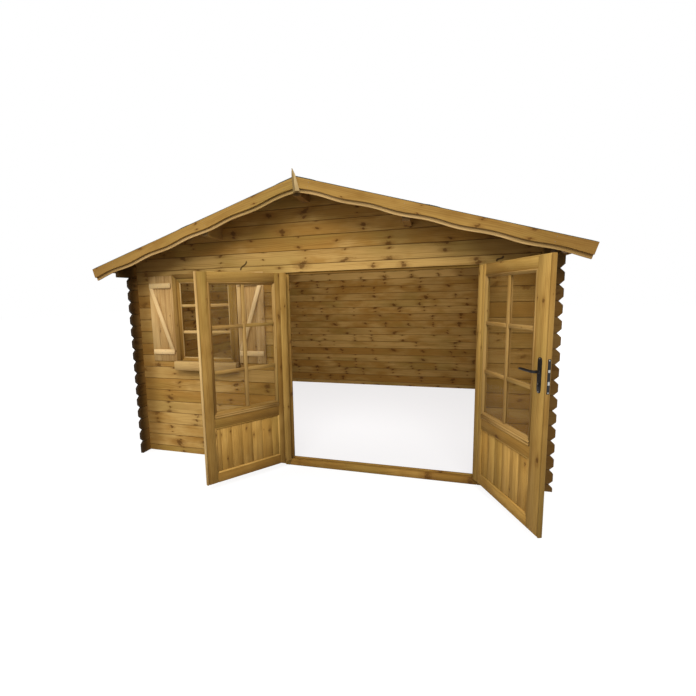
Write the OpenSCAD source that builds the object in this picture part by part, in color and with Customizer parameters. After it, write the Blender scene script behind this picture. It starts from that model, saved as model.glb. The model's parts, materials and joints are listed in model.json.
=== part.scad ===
// Garden shed in the log-cabin style: walls of notched logs, a gable roof
// on purlins, a pair of half-glazed doors and one shuttered window.
// X runs along the front, Y into the building and Z up. The origin is at
// ground level on the middle of the front wall.

/* [Walls] */
// Height that each log adds to a wall
log_pitch = 118; // [96:2:145]
// Thickness of a log
log_t = 28; // [20:1:45]
// Distance between the middle planes of the two side walls
wall_span = 3612; // [3200:10:4600]
// Distance between the middle planes of the front and back walls
wall_depth = 3443; // [2400:10:4600]
// How far front and back logs run past the right wall's middle plane
front_log_end = 139; // [80:1:180]
// How far front and back logs run past the left wall's middle plane
left_log_end = 90; // [70:1:180]
// How far side logs run past the front and back walls' middle planes
side_log_end = 127; // [80:1:180]
// Number of whole logs in a side wall, below the eave log
side_logs = 15; // [14:1:18]
// Bevel on the corners of a log's end
end_bevel = 30; // [10:1:32]
// Depth of the V joint between two logs
joint_v = 4; // [2:1:6]

/* [Roof] */
// Slope of the roof in degrees
roof_slope = 16.8; // [12:0.1:25]
// Height of the underside of the roof boards above the eave log's joint, at the side wall's middle
eave_rise = 136; // [110:1:180]
// Distance that the roof boards run past the side walls' middle planes
eave_overhang = 249; // [150:1:320]
// Distance from the front wall's middle plane to the front of the bargeboards
front_overhang = 287; // [200:1:400]
// Thickness of the roof boards
deck_t = 18; // [12:1:24]
// Thickness of the roofing felt
felt_t = 3; // [2:1:5]
// Width of a purlin
purlin_w = 56; // [40:1:90]
// Height of a purlin at its middle
purlin_h = 118; // [90:1:150]
// Distance of the middle purlins from the ridge
purlin_x = 838; // [600:1:1000]
// Width of a bargeboard, from its top to the middle of its wave
barge_h = 75; // [60:1:120]
// Thickness of a bargeboard
barge_t = 20; // [15:1:28]
// Height of the wave along a bargeboard's lower edge, from its middle to a crest
wave_h = 5.5; // [2:0.5:16]
// Length of one wave along a bargeboard
wave_l = 440; // [300:10:700]
// Distance of the first crest of the wave from the ridge
wave_start = 410; // [0:5:700]
// Height of the lip strip that shows below a bargeboard
lip_h = 27; // [10:1:40]
// Thickness of the lip strip
lip_t = 12; // [8:1:20]
// Width of a finial at its foot
finial_w = 54; // [40:1:70]
// Width of a finial at its shoulders
finial_neck = 26; // [16:1:38]
// Length of a finial, from its foot to its shoulders
finial_l = 128; // [80:1:200]
// Length of a finial's point above its shoulders
finial_point = 46; // [30:1:120]
// Thickness of a finial at its middle ridge
finial_t = 20; // [14:1:30]
// Thickness of a finial at the edges of its foot
finial_edge = 4; // [3:1:12]
// How far the front finial leans from upright, in degrees
finial_lean = 9; // [0:1:20]
// Thickness of the eave fascias
fascia_t = 16; // [12:1:24]
// Height of the eave fascias
fascia_h = 22; // [18:1:40]

/* [Doorway] */
// Middle of the doorway, measured from the middle of the front wall
door_x = 589.5; // [200:0.5:900]
// Clear width between the stops
door_clear_w = 1559; // [1200:1:1800]
// Clear height of the doorway, from the ground to the head's stop
door_clear_h = 1742; // [1600:1:1800]
// Height of the threshold
sill_h = 68; // [40:1:90]
// Depth of the door frame in front of the wall's middle plane
frame_front = 32; // [24:1:50]
// Depth of the door frame behind the wall's middle plane
frame_back = 28; // [20:1:50]
// Width of the stops that the leaves close against
stop_w = 29; // [20:1:40]
// Width of a post outside the rebate
post_w = 45; // [35:1:70]
// Height of the head board
head_h = 45; // [35:1:60]
// Depth of the rebate under the header log, from the log to the head's stop
head_lap = 21; // [15:1:30]
// Depth of the rebate in the threshold
sill_lap = 12; // [8:1:20]
// Depth of the grooves that take the ends of the logs
groove_d = 12; // [8:1:20]

/* [Door leaves] */
// Gap round a leaf where it faces the frame or the other leaf
leaf_gap = 7; // [5.5:0.5:12]
// Thickness of a leaf
leaf_t = 28; // [20:1:40]
// Width of the left leaf's hinge stile
left_hinge_stile_w = 116; // [80:1:130]
// Width of the left leaf's meeting stile
left_meeting_stile_w = 92; // [80:1:130]
// Width of the right leaf's hinge stile
right_hinge_stile_w = 100; // [80:1:130]
// Width of the right leaf's meeting stile, which takes the lock
right_meeting_stile_w = 122; // [80:1:140]
// Depth of the grooves that take the panel and the glass
pane_groove = 8; // [5:1:12]
// Height of the bottom rail
bottom_rail_h = 78; // [60:1:140]
// Height of the middle rail
mid_rail_h = 110; // [80:1:140]
// Height of the top rail
top_rail_h = 78; // [60:1:120]
// Height of the boarded panel
leaf_panel_h = 378; // [250:1:600]
// Thickness of the boarded panel
leaf_panel_t = 12; // [8:1:16]
// Width of the glazing beads
bead_w = 22; // [15:1:30]
// Thickness of the glazing beads
bead_t = 22; // [15:1:26]
// Thickness of the glass
glass_t = 4; // [3:1:6]
// How far the left leaf stands open, in degrees from closed
left_open = 126.8; // [0:0.1:150]
// How far the right leaf stands open, in degrees from closed
right_open = 112.6; // [0:0.1:150]
// Radius of the hinge knuckles
knuckle_r = 6; // [5:0.5:8]
// Height of a hinge
hinge_h = 90; // [70:1:120]
// Width of a hinge's flaps
flap_w = 32; // [25:1:45]
// Thickness of the hinge flaps
flap_t = 2; // [1.5:0.5:3]
// Height of the door handle's spindle above the ground
handle_z = 1079; // [900:1:1200]
// Length of the door handle's lever
lever_l = 140; // [100:1:160]
// Height of a handle's backplate
backplate_h = 215; // [150:1:260]
// Width of a handle's backplate
backplate_w = 36; // [25:1:45]
// Distance of the handle's middle from the leaf's edge
backset = 60; // [40:1:70]
// Height of the lock's faceplate
faceplate_h = 205; // [120:1:240]

/* [Window] */
// Middle of the window, measured from the middle of the front wall
window_x = -1035; // [-1200:1:-950]
// Outside width of the window frame
window_w = 680; // [560:1:760]
// Outside height of the window frame
window_h = 885; // [700:1:900]
// Height of the bottom of the window frame
window_z = 905; // [860:1:1000]
// Width of the window frame's face
window_face = 40; // [30:1:60]
// Width of the sash's members
sash_w = 46; // [35:1:60]
// Length of the window sill board
sill_board_w = 670; // [560:1:760]
// Height of the window sill board
sill_board_h = 84; // [40:1:100]
// Depth of the window sill board
sill_board_d = 60; // [30:1:90]
// How far the window sill board reaches below the window frame
sill_board_drop = 33; // [0:1:60]
// Width of a shutter
shutter_w = 270; // [200:1:300]
// Height of a shutter
shutter_h = 832; // [700:1:900]
// Thickness of the shutters' boards
shutter_t = 15; // [10:1:20]
// Thickness of the ledges and braces on the shutters
ledge_t = 15; // [10:1:20]
// Height of a shutter's ledge
ledge_h = 48; // [30:1:70]
// Distance of the ledges from the ends of a shutter
ledge_in = 70; // [40:1:120]
// Distance of the ledges and braces from a shutter's edges
ledge_side = 14; // [0:1:30]
// Width of a shutter's brace, measured along the ledges
brace_w = 40; // [25:1:60]

/* [Hidden] */

big = 6000;
// Clearance between the roof's layers, and between other faces that are only nailed together
seat = 0.3;
side_x = wall_span / 2;
back_y = wall_depth;
half_t = log_t / 2;
right_end_x = side_x + front_log_end;
left_end_x = -side_x - left_log_end;
side_front_y = -side_log_end;
side_back_y = back_y + side_log_end;
neck_h = log_pitch / 2;
wall_top = (side_logs + 0.5) * log_pitch;
plate_z = side_logs * log_pitch;

// Roof lines: height of the boards' underside over a place x
slope_t = tan(roof_slope);
slope_c = cos(roof_slope);
ridge_under = plate_z + eave_rise + slope_t * side_x;
deck_v = deck_t / slope_c;
felt_v = felt_t / slope_c;
roof_half = side_x + eave_overhang;
// Length of the slope from the ridge, along the boards' top
board_l = roof_half / slope_c;
deck_l = board_l - fascia_t - seat;
roof_front_y = -front_overhang;
roof_back_y = back_y + front_overhang;
// Ends of the purlins and eave logs, behind the lip strips
beam_y0 = roof_front_y + barge_t + lip_t;
beam_y1 = roof_back_y - barge_t - lip_t;
function under(x) = ridge_under - slope_t * abs(x);
// Middle of the finials, two thirds down the bargeboards' joint
finial_z = ridge_under + deck_v - barge_h * 2 / 3;

// Doorway
clear_x0 = door_x - door_clear_w / 2;
clear_x1 = door_x + door_clear_w / 2;
rebate_x0 = clear_x0 - stop_w;
rebate_x1 = clear_x1 + stop_w;
post_x0 = rebate_x0 - post_w;
post_x1 = rebate_x1 + post_w;
rebate_y = -frame_front + leaf_t + leaf_gap;
stop_d = frame_back - rebate_y;
rebate_top = door_clear_h + head_lap;
rebate_bottom = sill_h - sill_lap;

// Leaves
leaf_z0 = rebate_bottom + leaf_gap;
leaf_z1 = rebate_top - leaf_gap;
leaf_w = (rebate_x1 - rebate_x0 - 3 * leaf_gap) / 2;
leaf_h = leaf_z1 - leaf_z0;
hinge_out = knuckle_r + 0.5;
axis_y = -frame_front - hinge_out;
left_axis_x = rebate_x0 + leaf_gap / 2;
right_axis_x = rebate_x1 - leaf_gap / 2;
glass_z0 = bottom_rail_h + leaf_panel_h + mid_rail_h;
glass_z1 = leaf_h - top_rail_h;
hinge_end = 130;
hinge_zs = [leaf_z0 + hinge_end, (leaf_z0 + leaf_z1 - hinge_h) / 2, leaf_z1 - hinge_end - hinge_h];

// Window
hole_lap = 25;
shutter_z = window_z + 43;
shutter_gap = 3;
// Distance of the shutters' outer edges from the window's middle
shutter_x = window_w / 2 + shutter_gap + shutter_w;

sash_x0 = window_x - window_w / 2 + window_face;
sash_z0 = window_z + window_face;
sash_width = window_w - 2 * window_face;
sash_height = window_h - 2 * window_face;
sash_y = -frame_front + 6;
sash_t = 32;

// Outline of a stack of logs seen along its length, from z0 to z1, with a
// V joint at each multiple of the pitch above the first joint
function joints(first, z0, z1) =
    [for (k = [0 : 30]) let (z = first + k * log_pitch) if (z > z0 + 1 && z < z1 - 1) z];
function flip(ps) = [for (k = [len(ps) - 1 : -1 : 0]) ps[k]];
function v_cuts(x, v, dx, js) = [for (z = js) each [[x, z - v], [x + dx * v, z], [x, z + v]]];

// An upper or lower corner, bevelled by v where another log meets it there
function corner(x, z, v, dx, dz) = v > 0 ? [[x, z + dz * v], [x + dx * v, z]] : [[x, z]];

// Outline of a stack from xa to xb: va and vb bevel its two sides at the joints,
// and low and high say whether a log meets it below and above
module stack_shape(first, xa, xb, z0, z1, va, vb, low, high) {
    js = joints(first, z0, z1);
    polygon(concat(
        flip(corner(xb, z0, low ? vb : 0, -1, 1)),
        vb > 0 ? v_cuts(xb, vb, -1, js) : [],
        corner(xb, z1, high ? vb : 0, -1, -1),
        flip(corner(xa, z1, high ? va : 0, 1, -1)),
        va > 0 ? flip(v_cuts(xa, va, 1, js)) : [],
        corner(xa, z0, low ? va : 0, 1, 1)));
}

// A wall of logs along X, with bevelled log ends where an end is free
module log_stack(first, x0, x1, z0, z1, free0, free1, low, high) {
    intersection() {
        translate([0, half_t, 0]) rotate([90, 0, 0]) linear_extrude(log_t)
            stack_shape(first, x0, x1, z0, z1, free0 ? end_bevel : 0, free1 ? end_bevel : 0, low, high);
        translate([x0, 0, 0]) rotate([90, 0, 90]) linear_extrude(x1 - x0)
            stack_shape(first, -half_t, half_t, z0, z1, joint_v, joint_v, low, high);
    }
}

// Notches that leave room for the crossing logs' necks
module neck_notches(x, first, count) {
    for (k = [0 : count - 1])
        translate([x - half_t, -log_t, first + k * log_pitch]) cube([log_t, 2 * log_t, neck_h]);
}

// Space under the roof boards
module under_roof(y0, y1) {
    translate([0, y1, 0]) rotate([90, 0, 0]) linear_extrude(y1 - y0)
        polygon([[-roof_half, 0], [roof_half, 0], [roof_half, under(roof_half)], [0, ridge_under],
            [-roof_half, under(roof_half)]]);
}

module purlin_shape(x, y0, y1) {
    z0 = under(x) - purlin_h;
    intersection() {
        translate([x - purlin_w / 2, y0, z0]) cube([purlin_w, y1 - y0, 2 * purlin_h]);
        under_roof(y0, y1);
    }
}

module wall_purlin_holes() {
    for (x = [-purlin_x, 0, purlin_x])
        translate([x - purlin_w / 2, -log_t, under(x) - purlin_h]) cube([purlin_w, 2 * log_t, 2 * purlin_h]);
}

module window_hole() {
    translate([window_x - window_w / 2 + hole_lap, -log_t, window_z + hole_lap])
        cube([window_w - 2 * hole_lap, 2 * log_t, window_h - 2 * hole_lap]);
}

module front_wall_left() {
    color("peru") {
        difference() {
            log_stack(neck_h, left_end_x, post_x0, 0, wall_top, true, false, false, true);
            neck_notches(-side_x, neck_h / 2, side_logs + 1);
            window_hole();
        }
        translate([post_x0, -half_t, 0]) cube([groove_d, log_t, rebate_top]);
    }
}

module front_wall_right() {
    color("peru") {
        difference() {
            log_stack(neck_h, post_x1, right_end_x, 0, wall_top, false, true, false, true);
            neck_notches(side_x, neck_h / 2, side_logs + 1);
        }
        translate([post_x1 - groove_d, -half_t, 0]) cube([groove_d, log_t, rebate_top]);
    }
}

// The logs above the side walls' top, cut to the roof
module gable_logs() {
    difference() {
        intersection() {
            log_stack(neck_h, left_end_x, right_end_x, wall_top, ridge_under, true, true, true, false);
            under_roof(-log_t, log_t);
        }
        wall_purlin_holes();
        for (x = [-side_x, side_x])
            translate([x - half_t, -log_t, wall_top - 1]) cube([log_t, 2 * log_t, neck_h / 2 + 1]);
    }
}

// The gable logs, with the header log over the doorway
module front_gable() {
    color("peru") difference() {
        union() {
            gable_logs();
            log_stack(neck_h, post_x0, post_x1, rebate_top, max(wall_top, rebate_top + 1),
                false, false, false, true);
        }
        translate([post_x0, -log_t, 0]) cube([post_x1 - post_x0, 2 * log_t, rebate_top]);
    }
}

module back_gable() {
    color("peru") translate([0, back_y, 0]) gable_logs();
}

module back_wall() {
    color("peru") translate([0, back_y, 0]) difference() {
        log_stack(neck_h, left_end_x, right_end_x, 0, wall_top, true, true, false, true);
        for (x = [-side_x, side_x])
            neck_notches(x, neck_h / 2, side_logs + 1);
    }
}

// A side wall stands on X, built along X and turned into place
module side_wall(x) {
    color("peru") translate([x, 0, 0]) rotate([0, 0, 90]) difference() {
        log_stack(log_pitch, side_front_y, side_back_y, 0, plate_z, true, true, false, true);
        for (y = [0, back_y]) {
            neck_notches(y, -neck_h / 2, 1);
            neck_notches(y, log_pitch - neck_h / 2, side_logs);
        }
    }
}

module left_wall() {
    side_wall(-side_x);
}

module right_wall() {
    side_wall(side_x);
}

// The eave log carries the edge of the roof and runs out to the bargeboards
module eave_log(x) {
    color("peru") difference() {
        intersection() {
            translate([x, 0, 0]) rotate([0, 0, 90])
                log_stack(0, beam_y0, beam_y1, plate_z, plate_z + 2 * log_pitch - 2,
                    false, false, true, false);
            under_roof(roof_front_y, roof_back_y);
        }
        for (y = [0, back_y]) {
            translate([x - log_t, y - half_t, plate_z - 1]) cube([2 * log_t, log_t, neck_h / 2 + 1]);
            translate([x - log_t, y - half_t, wall_top + neck_h / 2]) cube([2 * log_t, log_t, log_pitch]);
        }
    }
}

module left_eave_log() {
    eave_log(-side_x);
}

module right_eave_log() {
    eave_log(side_x);
}

module purlin(x) {
    color("peru") purlin_shape(x, beam_y0, beam_y1);
}

module ridge_purlin() {
    purlin(0);
}

module left_purlin() {
    purlin(-purlin_x);
}

module right_purlin() {
    purlin(purlin_x);
}

// One roof layer on the right side, l long down the slope and square cut at its end,
// from height a to b above the boards' underside
module roof_layer(l, a, b, y0, y1) {
    xa = l * slope_c + (a - deck_v) * slope_t * slope_c * slope_c;
    xb = l * slope_c + (b - deck_v) * slope_t * slope_c * slope_c;
    translate([0, y1, 0]) rotate([90, 0, 0]) linear_extrude(y1 - y0)
        polygon([[0, ridge_under + a], [xa, under(xa) + a], [xb, under(xb) + b], [0, ridge_under + b]]);
}

module right_roof_boards() {
    color("tan") roof_layer(deck_l, seat, deck_v, roof_front_y + barge_t, roof_back_y - barge_t);
}

module left_roof_boards() {
    mirror([1, 0, 0]) right_roof_boards();
}

module roof_felt() {
    color("dimgray") for (s = [0, 1]) mirror([s, 0, 0])
        roof_layer(board_l, deck_v + seat, deck_v + seat + felt_v, roof_front_y, roof_back_y);
}

// Distance of the wave from a bargeboard's top, d along the slope from the ridge
function wave(d) = barge_h + wave_h * cos(360 * (d - wave_start) / wave_l);
wave_n = 96;
function wave_line(drop) = [for (k = [0 : wave_n]) let (d = k * board_l / wave_n) [d, -wave(d) - drop]];

// The boards on the right slope, d along it from the ridge and w down across it
module barge_outline() {
    polygon(concat([[0, 0]], wave_line(0), [[board_l, 0]]));
}

// The lip strip is as wide behind the bargeboard as it shows below it
module lip_outline() {
    polygon(concat(wave_line(-lip_h), flip(wave_line(lip_h))));
}

// Lays a 2D shape of thickness t on the right slope, its front face at y, and mirrors it
module on_slopes(y, t) {
    for (s = [0, 1]) mirror([s, 0, 0]) intersection() {
        translate([0, y + t, ridge_under + deck_v]) rotate([0, roof_slope, 0]) rotate([90, 0, 0])
            linear_extrude(t) children();
        translate([0, y - 1, 0]) cube([big, t + 2, big]);
    }
}

module bargeboards(y) {
    color("goldenrod") on_slopes(y, barge_t) barge_outline();
}

module lip_strips(y) {
    color("burlywood") on_slopes(y, lip_t) lip_outline();
}

module front_bargeboards() {
    bargeboards(roof_front_y);
}

module back_bargeboards() {
    bargeboards(roof_back_y - barge_t);
}

module front_lip_strips() {
    lip_strips(roof_front_y + barge_t);
}

module back_lip_strips() {
    lip_strips(roof_back_y - barge_t - lip_t);
}

// Spear-shaped block with a ridge down its middle, over the bargeboards' joint. Its
// back lies in the plane y = 0, and it leans about the middle of the joint.
module finial(lean) {
    edge = finial_w / 2;
    neck = finial_neck / 2;
    foot = -finial_l / 2;
    shoulder = finial_l / 2;
    color("burlywood") translate([0, 0, finial_z]) rotate([0, -lean, 0]) intersection() {
        translate([0, 0, foot]) linear_extrude(finial_l + finial_point)
            polygon([[-edge, 0], [-edge, -finial_edge], [0, -finial_t], [edge, -finial_edge], [edge, 0]]);
        translate([0, 1, 0]) rotate([90, 0, 0]) linear_extrude(finial_t + 2)
            polygon([[-edge, foot], [edge, foot], [neck, shoulder],
                [0, shoulder + finial_point], [-neck, shoulder]]);
    }
}

module front_finial() {
    translate([0, roof_front_y, 0]) finial(finial_lean);
}

module back_finial() {
    translate([0, roof_back_y, 0]) rotate([0, 0, 180]) finial(0);
}

module eave_fascias() {
    color("goldenrod") for (s = [0, 1]) mirror([s, 0, 0])
        translate([0, roof_front_y + barge_t, ridge_under + deck_v]) rotate([0, roof_slope, 0])
            translate([board_l - fascia_t, 0, -fascia_h])
                cube([fascia_t, roof_back_y - roof_front_y - 2 * barge_t, fascia_h]);
}

module door_post(x, groove_x) {
    difference() {
        translate([x, -frame_front, 0]) cube([post_w, frame_front + frame_back, rebate_top]);
        translate([groove_x, -half_t, -1]) cube([groove_d + 1, log_t, rebate_top + 2]);
    }
}

module door_posts() {
    color("peru") {
        door_post(post_x0, post_x0 - 1);
        door_post(rebate_x1, post_x1 - groove_d);
    }
}

// Board behind the header log, which holds the head's stop
module door_head() {
    color("peru") translate([rebate_x0, half_t, rebate_top])
        cube([rebate_x1 - rebate_x0, frame_back - half_t, head_h]);
}

// Strips inside the posts, the header log and the threshold, that the leaves close against
module door_stops() {
    color("peru") translate([0, rebate_y, 0]) {
        for (x = [rebate_x0, clear_x1])
            translate([x, 0, rebate_bottom]) cube([stop_w, stop_d, rebate_top - rebate_bottom]);
        translate([clear_x0, 0, door_clear_h]) cube([door_clear_w, stop_d, head_lap]);
        translate([clear_x0, 0, rebate_bottom]) cube([door_clear_w, stop_d, sill_lap]);
    }
}

module door_threshold() {
    color("burlywood") translate([rebate_x0, -frame_front, 0])
        cube([rebate_x1 - rebate_x0, frame_front + frame_back, rebate_bottom]);
}

// A leaf in its own frame: u from the hinge edge, v from the outer face inwards, z from
// its bottom. a and b are the widths of its hinge stile and meeting stile.
module leaf_frame(a, b) {
    span = leaf_w - a - b;
    color("peru") difference() {
        cube([leaf_w, leaf_t, leaf_h]);
        translate([a, -1, bottom_rail_h]) cube([span, leaf_t + 2, leaf_panel_h]);
        translate([a, -1, glass_z0]) cube([span, leaf_t + 2, glass_z1 - glass_z0]);
        panel_sheet(a, b);
    }
}

// The boarded panel, as one sheet with its edges in the frame's grooves
module panel_sheet(a, b) {
    translate([a - pane_groove, (leaf_t - leaf_panel_t) / 2, bottom_rail_h - pane_groove])
        cube([leaf_w - a - b + 2 * pane_groove, leaf_panel_t, leaf_panel_h + 2 * pane_groove]);
}

module leaf_panel(a, b) {
    color("peru") panel_sheet(a, b);
}

// The glass, with its edges between the beads
module glass_sheet(a, b) {
    inset = bead_w - pane_groove;
    translate([a + inset, (leaf_t - glass_t) / 2, glass_z0 + inset])
        cube([leaf_w - a - b - 2 * inset, glass_t, glass_z1 - glass_z0 - 2 * inset]);
}

module leaf_glass(a, b) {
    color("lightblue", 0.4) glass_sheet(a, b);
}

module leaf_beads(a, b) {
    span = leaf_w - a - b;
    height = glass_z1 - glass_z0;
    color("peru") difference() {
        translate([a, (leaf_t - bead_t) / 2, glass_z0]) cube([span, bead_t, height]);
        translate([a + bead_w, -1, glass_z0 + bead_w])
            cube([span - 2 * bead_w, leaf_t + 2, height - 2 * bead_w]);
        glass_sheet(a, b);
    }
}

// The moving flaps and middle knuckles of a leaf's hinges, about the pin's axis
module leaf_hinge_flaps() {
    third = hinge_h / 3;
    color("dimgray") for (z = hinge_zs) translate([0, 0, z - leaf_z0]) {
        translate([knuckle_r + 1, hinge_out - flap_t, 0]) cube([flap_w, flap_t, hinge_h]);
        translate([0, 0, third + seat]) cylinder(r = knuckle_r, h = third - 2 * seat, $fn = 32);
        translate([0, hinge_out - flap_t, third + seat]) cube([knuckle_r + 2, flap_t, third - 2 * seat]);
    }
}

// Places a leaf's pieces: hung on the left axis, or mirrored on to the right one
module hang_left() {
    translate([left_axis_x, axis_y, leaf_z0]) rotate([0, 0, -left_open]) children();
}

module hang_right() {
    translate([right_axis_x, axis_y, leaf_z0]) rotate([0, 0, right_open]) mirror([1, 0, 0]) children();
}

module in_leaf() {
    translate([leaf_gap / 2, hinge_out, 0]) children();
}

module left_leaf_frame() {
    hang_left() in_leaf() leaf_frame(left_hinge_stile_w, left_meeting_stile_w);
}

module left_leaf_panel() {
    hang_left() in_leaf() leaf_panel(left_hinge_stile_w, left_meeting_stile_w);
}

module left_leaf_beads() {
    hang_left() in_leaf() leaf_beads(left_hinge_stile_w, left_meeting_stile_w);
}

module left_leaf_glass() {
    hang_left() in_leaf() leaf_glass(left_hinge_stile_w, left_meeting_stile_w);
}

module right_leaf_frame() {
    difference() {
        hang_right() in_leaf() leaf_frame(right_hinge_stile_w, right_meeting_stile_w);
        hang_right() in_leaf() lock_plate(1);
    }
}

module right_leaf_panel() {
    hang_right() in_leaf() leaf_panel(right_hinge_stile_w, right_meeting_stile_w);
}

module right_leaf_beads() {
    hang_right() in_leaf() leaf_beads(right_hinge_stile_w, right_meeting_stile_w);
}

module right_leaf_glass() {
    hang_right() in_leaf() leaf_glass(right_hinge_stile_w, right_meeting_stile_w);
}

module window_frame() {
    color("peru") translate([window_x - window_w / 2, 0, window_z]) difference() {
        translate([0, -frame_front, 0]) cube([window_w, frame_front + frame_back, window_h]);
        translate([window_face, -frame_front - 1, window_face])
            cube([window_w - 2 * window_face, frame_front + frame_back + 2, window_h - 2 * window_face]);
        difference() {
            translate([-1, -half_t, -1]) cube([window_w + 2, log_t, window_h + 2]);
            translate([hole_lap, -log_t, hole_lap])
                cube([window_w - 2 * hole_lap, 2 * log_t, window_h - 2 * hole_lap]);
        }
    }
}

module window_pane() {
    inset = sash_w - pane_groove;
    translate([sash_x0 + inset, sash_y + (sash_t - glass_t) / 2, sash_z0 + inset])
        cube([sash_width - 2 * inset, glass_t, sash_height - 2 * inset]);
}

module window_sash() {
    color("peru") difference() {
        translate([sash_x0, sash_y, sash_z0]) cube([sash_width, sash_t, sash_height]);
        translate([sash_x0 + sash_w, sash_y - 1, sash_z0 + sash_w])
            cube([sash_width - 2 * sash_w, sash_t + 2, sash_height - 2 * sash_w]);
        window_pane();
    }
}

module window_glass() {
    color("lightblue", 0.4) window_pane();
}

module window_sill_board() {
    color("burlywood")
        translate([window_x - sill_board_w / 2, -frame_front - sill_board_d, window_z - sill_board_drop])
            cube([sill_board_w, sill_board_d, sill_board_h]);
}

// A shutter in its own frame, its board against the wall, brace rising away from the window
module shutter() {
    brace_z0 = ledge_in + ledge_h;
    brace_z1 = shutter_h - ledge_in - ledge_h;
    brace_x1 = shutter_w - ledge_side;
    translate([0, -shutter_t, 0]) cube([shutter_w, shutter_t, shutter_h]);
    for (z = [ledge_in, brace_z1])
        translate([ledge_side, -shutter_t - ledge_t, z]) cube([shutter_w - 2 * ledge_side, ledge_t, ledge_h]);
    translate([0, -shutter_t, 0]) rotate([90, 0, 0]) linear_extrude(ledge_t)
        polygon([[ledge_side, brace_z1], [ledge_side + brace_w, brace_z1],
            [brace_x1, brace_z0], [brace_x1 - brace_w, brace_z0]]);
}

module left_shutter() {
    color("burlywood") translate([window_x - shutter_x, -half_t, shutter_z]) shutter();
}

module right_shutter() {
    color("burlywood") translate([window_x + shutter_x, -half_t, shutter_z]) mirror([1, 0, 0]) shutter();
}

module left_leaf_hinge_flaps() {
    hang_left() leaf_hinge_flaps();
}

module right_leaf_hinge_flaps() {
    hang_right() leaf_hinge_flaps();
}

// Flaps screwed to the posts, with the outer knuckles of each hinge
module post_flaps() {
    third = hinge_h / 3;
    for (z = hinge_zs) translate([0, 0, z]) {
        translate([-knuckle_r - 1 - flap_w, hinge_out - flap_t, 0]) cube([flap_w, flap_t, hinge_h]);
        for (k = [0, 2]) translate([0, 0, k * third]) {
            cylinder(r = knuckle_r, h = third, $fn = 32);
            translate([-knuckle_r - 2, hinge_out - flap_t, 0]) cube([knuckle_r + 2, flap_t, third]);
        }
    }
}

module post_hinge_flaps() {
    color("dimgray") {
        translate([left_axis_x, axis_y, 0]) post_flaps();
        translate([right_axis_x, axis_y, 0]) mirror([1, 0, 0]) post_flaps();
    }
}

// Backplate and lever on one face of the leaf, about the spindle's axis
module handle() {
    plate_t = 5;
    spindle_l = 40;
    lever_h = 16;
    lever_t = 12;
    translate([-backplate_w / 2, -plate_t, -backplate_h * 0.6]) cube([backplate_w, plate_t, backplate_h]);
    rotate([90, 0, 0]) cylinder(r = lever_h / 2 + 1, h = spindle_l, $fn = 32);
    translate([-lever_l, -spindle_l - lever_t / 2, -lever_h / 2])
        cube([lever_l + lever_h / 2, lever_t, lever_h]);
}

module door_handles() {
    color("black") hang_right() in_leaf() translate([leaf_w - backset, 0, handle_z - leaf_z0])
        for (v = [0, 1]) translate([0, v * leaf_t, 0]) mirror([0, v, 0]) handle();
}

// Plate let into the free edge of the right leaf; more lengthens it outwards, for its recess
module lock_plate(more) {
    plate_w = 20;
    plate_t = 2;
    translate([leaf_w - plate_t, (leaf_t - plate_w) / 2, handle_z - leaf_z0 - faceplate_h * 0.6])
        cube([plate_t + more, plate_w, faceplate_h]);
}

module lock_faceplate() {
    color("silver") hang_right() in_leaf() lock_plate(0);
}

front_wall_left();
front_wall_right();
front_gable();
back_wall();
back_gable();
left_wall();
right_wall();
left_eave_log();
right_eave_log();
ridge_purlin();
left_purlin();
right_purlin();
left_roof_boards();
right_roof_boards();
roof_felt();
front_bargeboards();
back_bargeboards();
front_lip_strips();
back_lip_strips();
front_finial();
back_finial();
eave_fascias();
door_posts();
door_head();
door_stops();
door_threshold();
post_hinge_flaps();
window_frame();
window_sash();
window_glass();
window_sill_board();
left_shutter();
right_shutter();
left_leaf_frame();
left_leaf_panel();
left_leaf_beads();
left_leaf_glass();
left_leaf_hinge_flaps();
right_leaf_frame();
right_leaf_panel();
right_leaf_beads();
right_leaf_glass();
right_leaf_hinge_flaps();
door_handles();
lock_faceplate();
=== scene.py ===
"""Looks for a log-cabin style garden shed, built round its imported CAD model.

Lengths are in metres, in the frame of the CAD model: X along the front, Y into the
building, Z up. Timber is made as planks, mitred strips and turned or swept fittings,
all worked out as numpy arrays, and every wood finish is one grain pattern that runs
along its own piece.
"""

import json
import math

import bpy
import numpy as np
from mathutils import Matrix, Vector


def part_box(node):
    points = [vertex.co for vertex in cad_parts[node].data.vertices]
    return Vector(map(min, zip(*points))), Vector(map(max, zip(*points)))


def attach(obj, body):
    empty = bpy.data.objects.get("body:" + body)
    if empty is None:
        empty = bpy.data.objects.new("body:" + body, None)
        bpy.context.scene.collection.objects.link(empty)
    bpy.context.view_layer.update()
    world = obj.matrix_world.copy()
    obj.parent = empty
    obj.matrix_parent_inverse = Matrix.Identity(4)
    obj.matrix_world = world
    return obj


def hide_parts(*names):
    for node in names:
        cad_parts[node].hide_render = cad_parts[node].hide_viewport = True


bl_info = {
    "name": "Garden Shed",
    "version": (1, 0, 0),
    "blender": (4, 5, 0),
    "location": "View3D > Sidebar > Shed",
    "description": "Builds the timber, roofing, glazing and fittings of a log-cabin style garden shed",
    "category": "Add Mesh",
}

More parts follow.
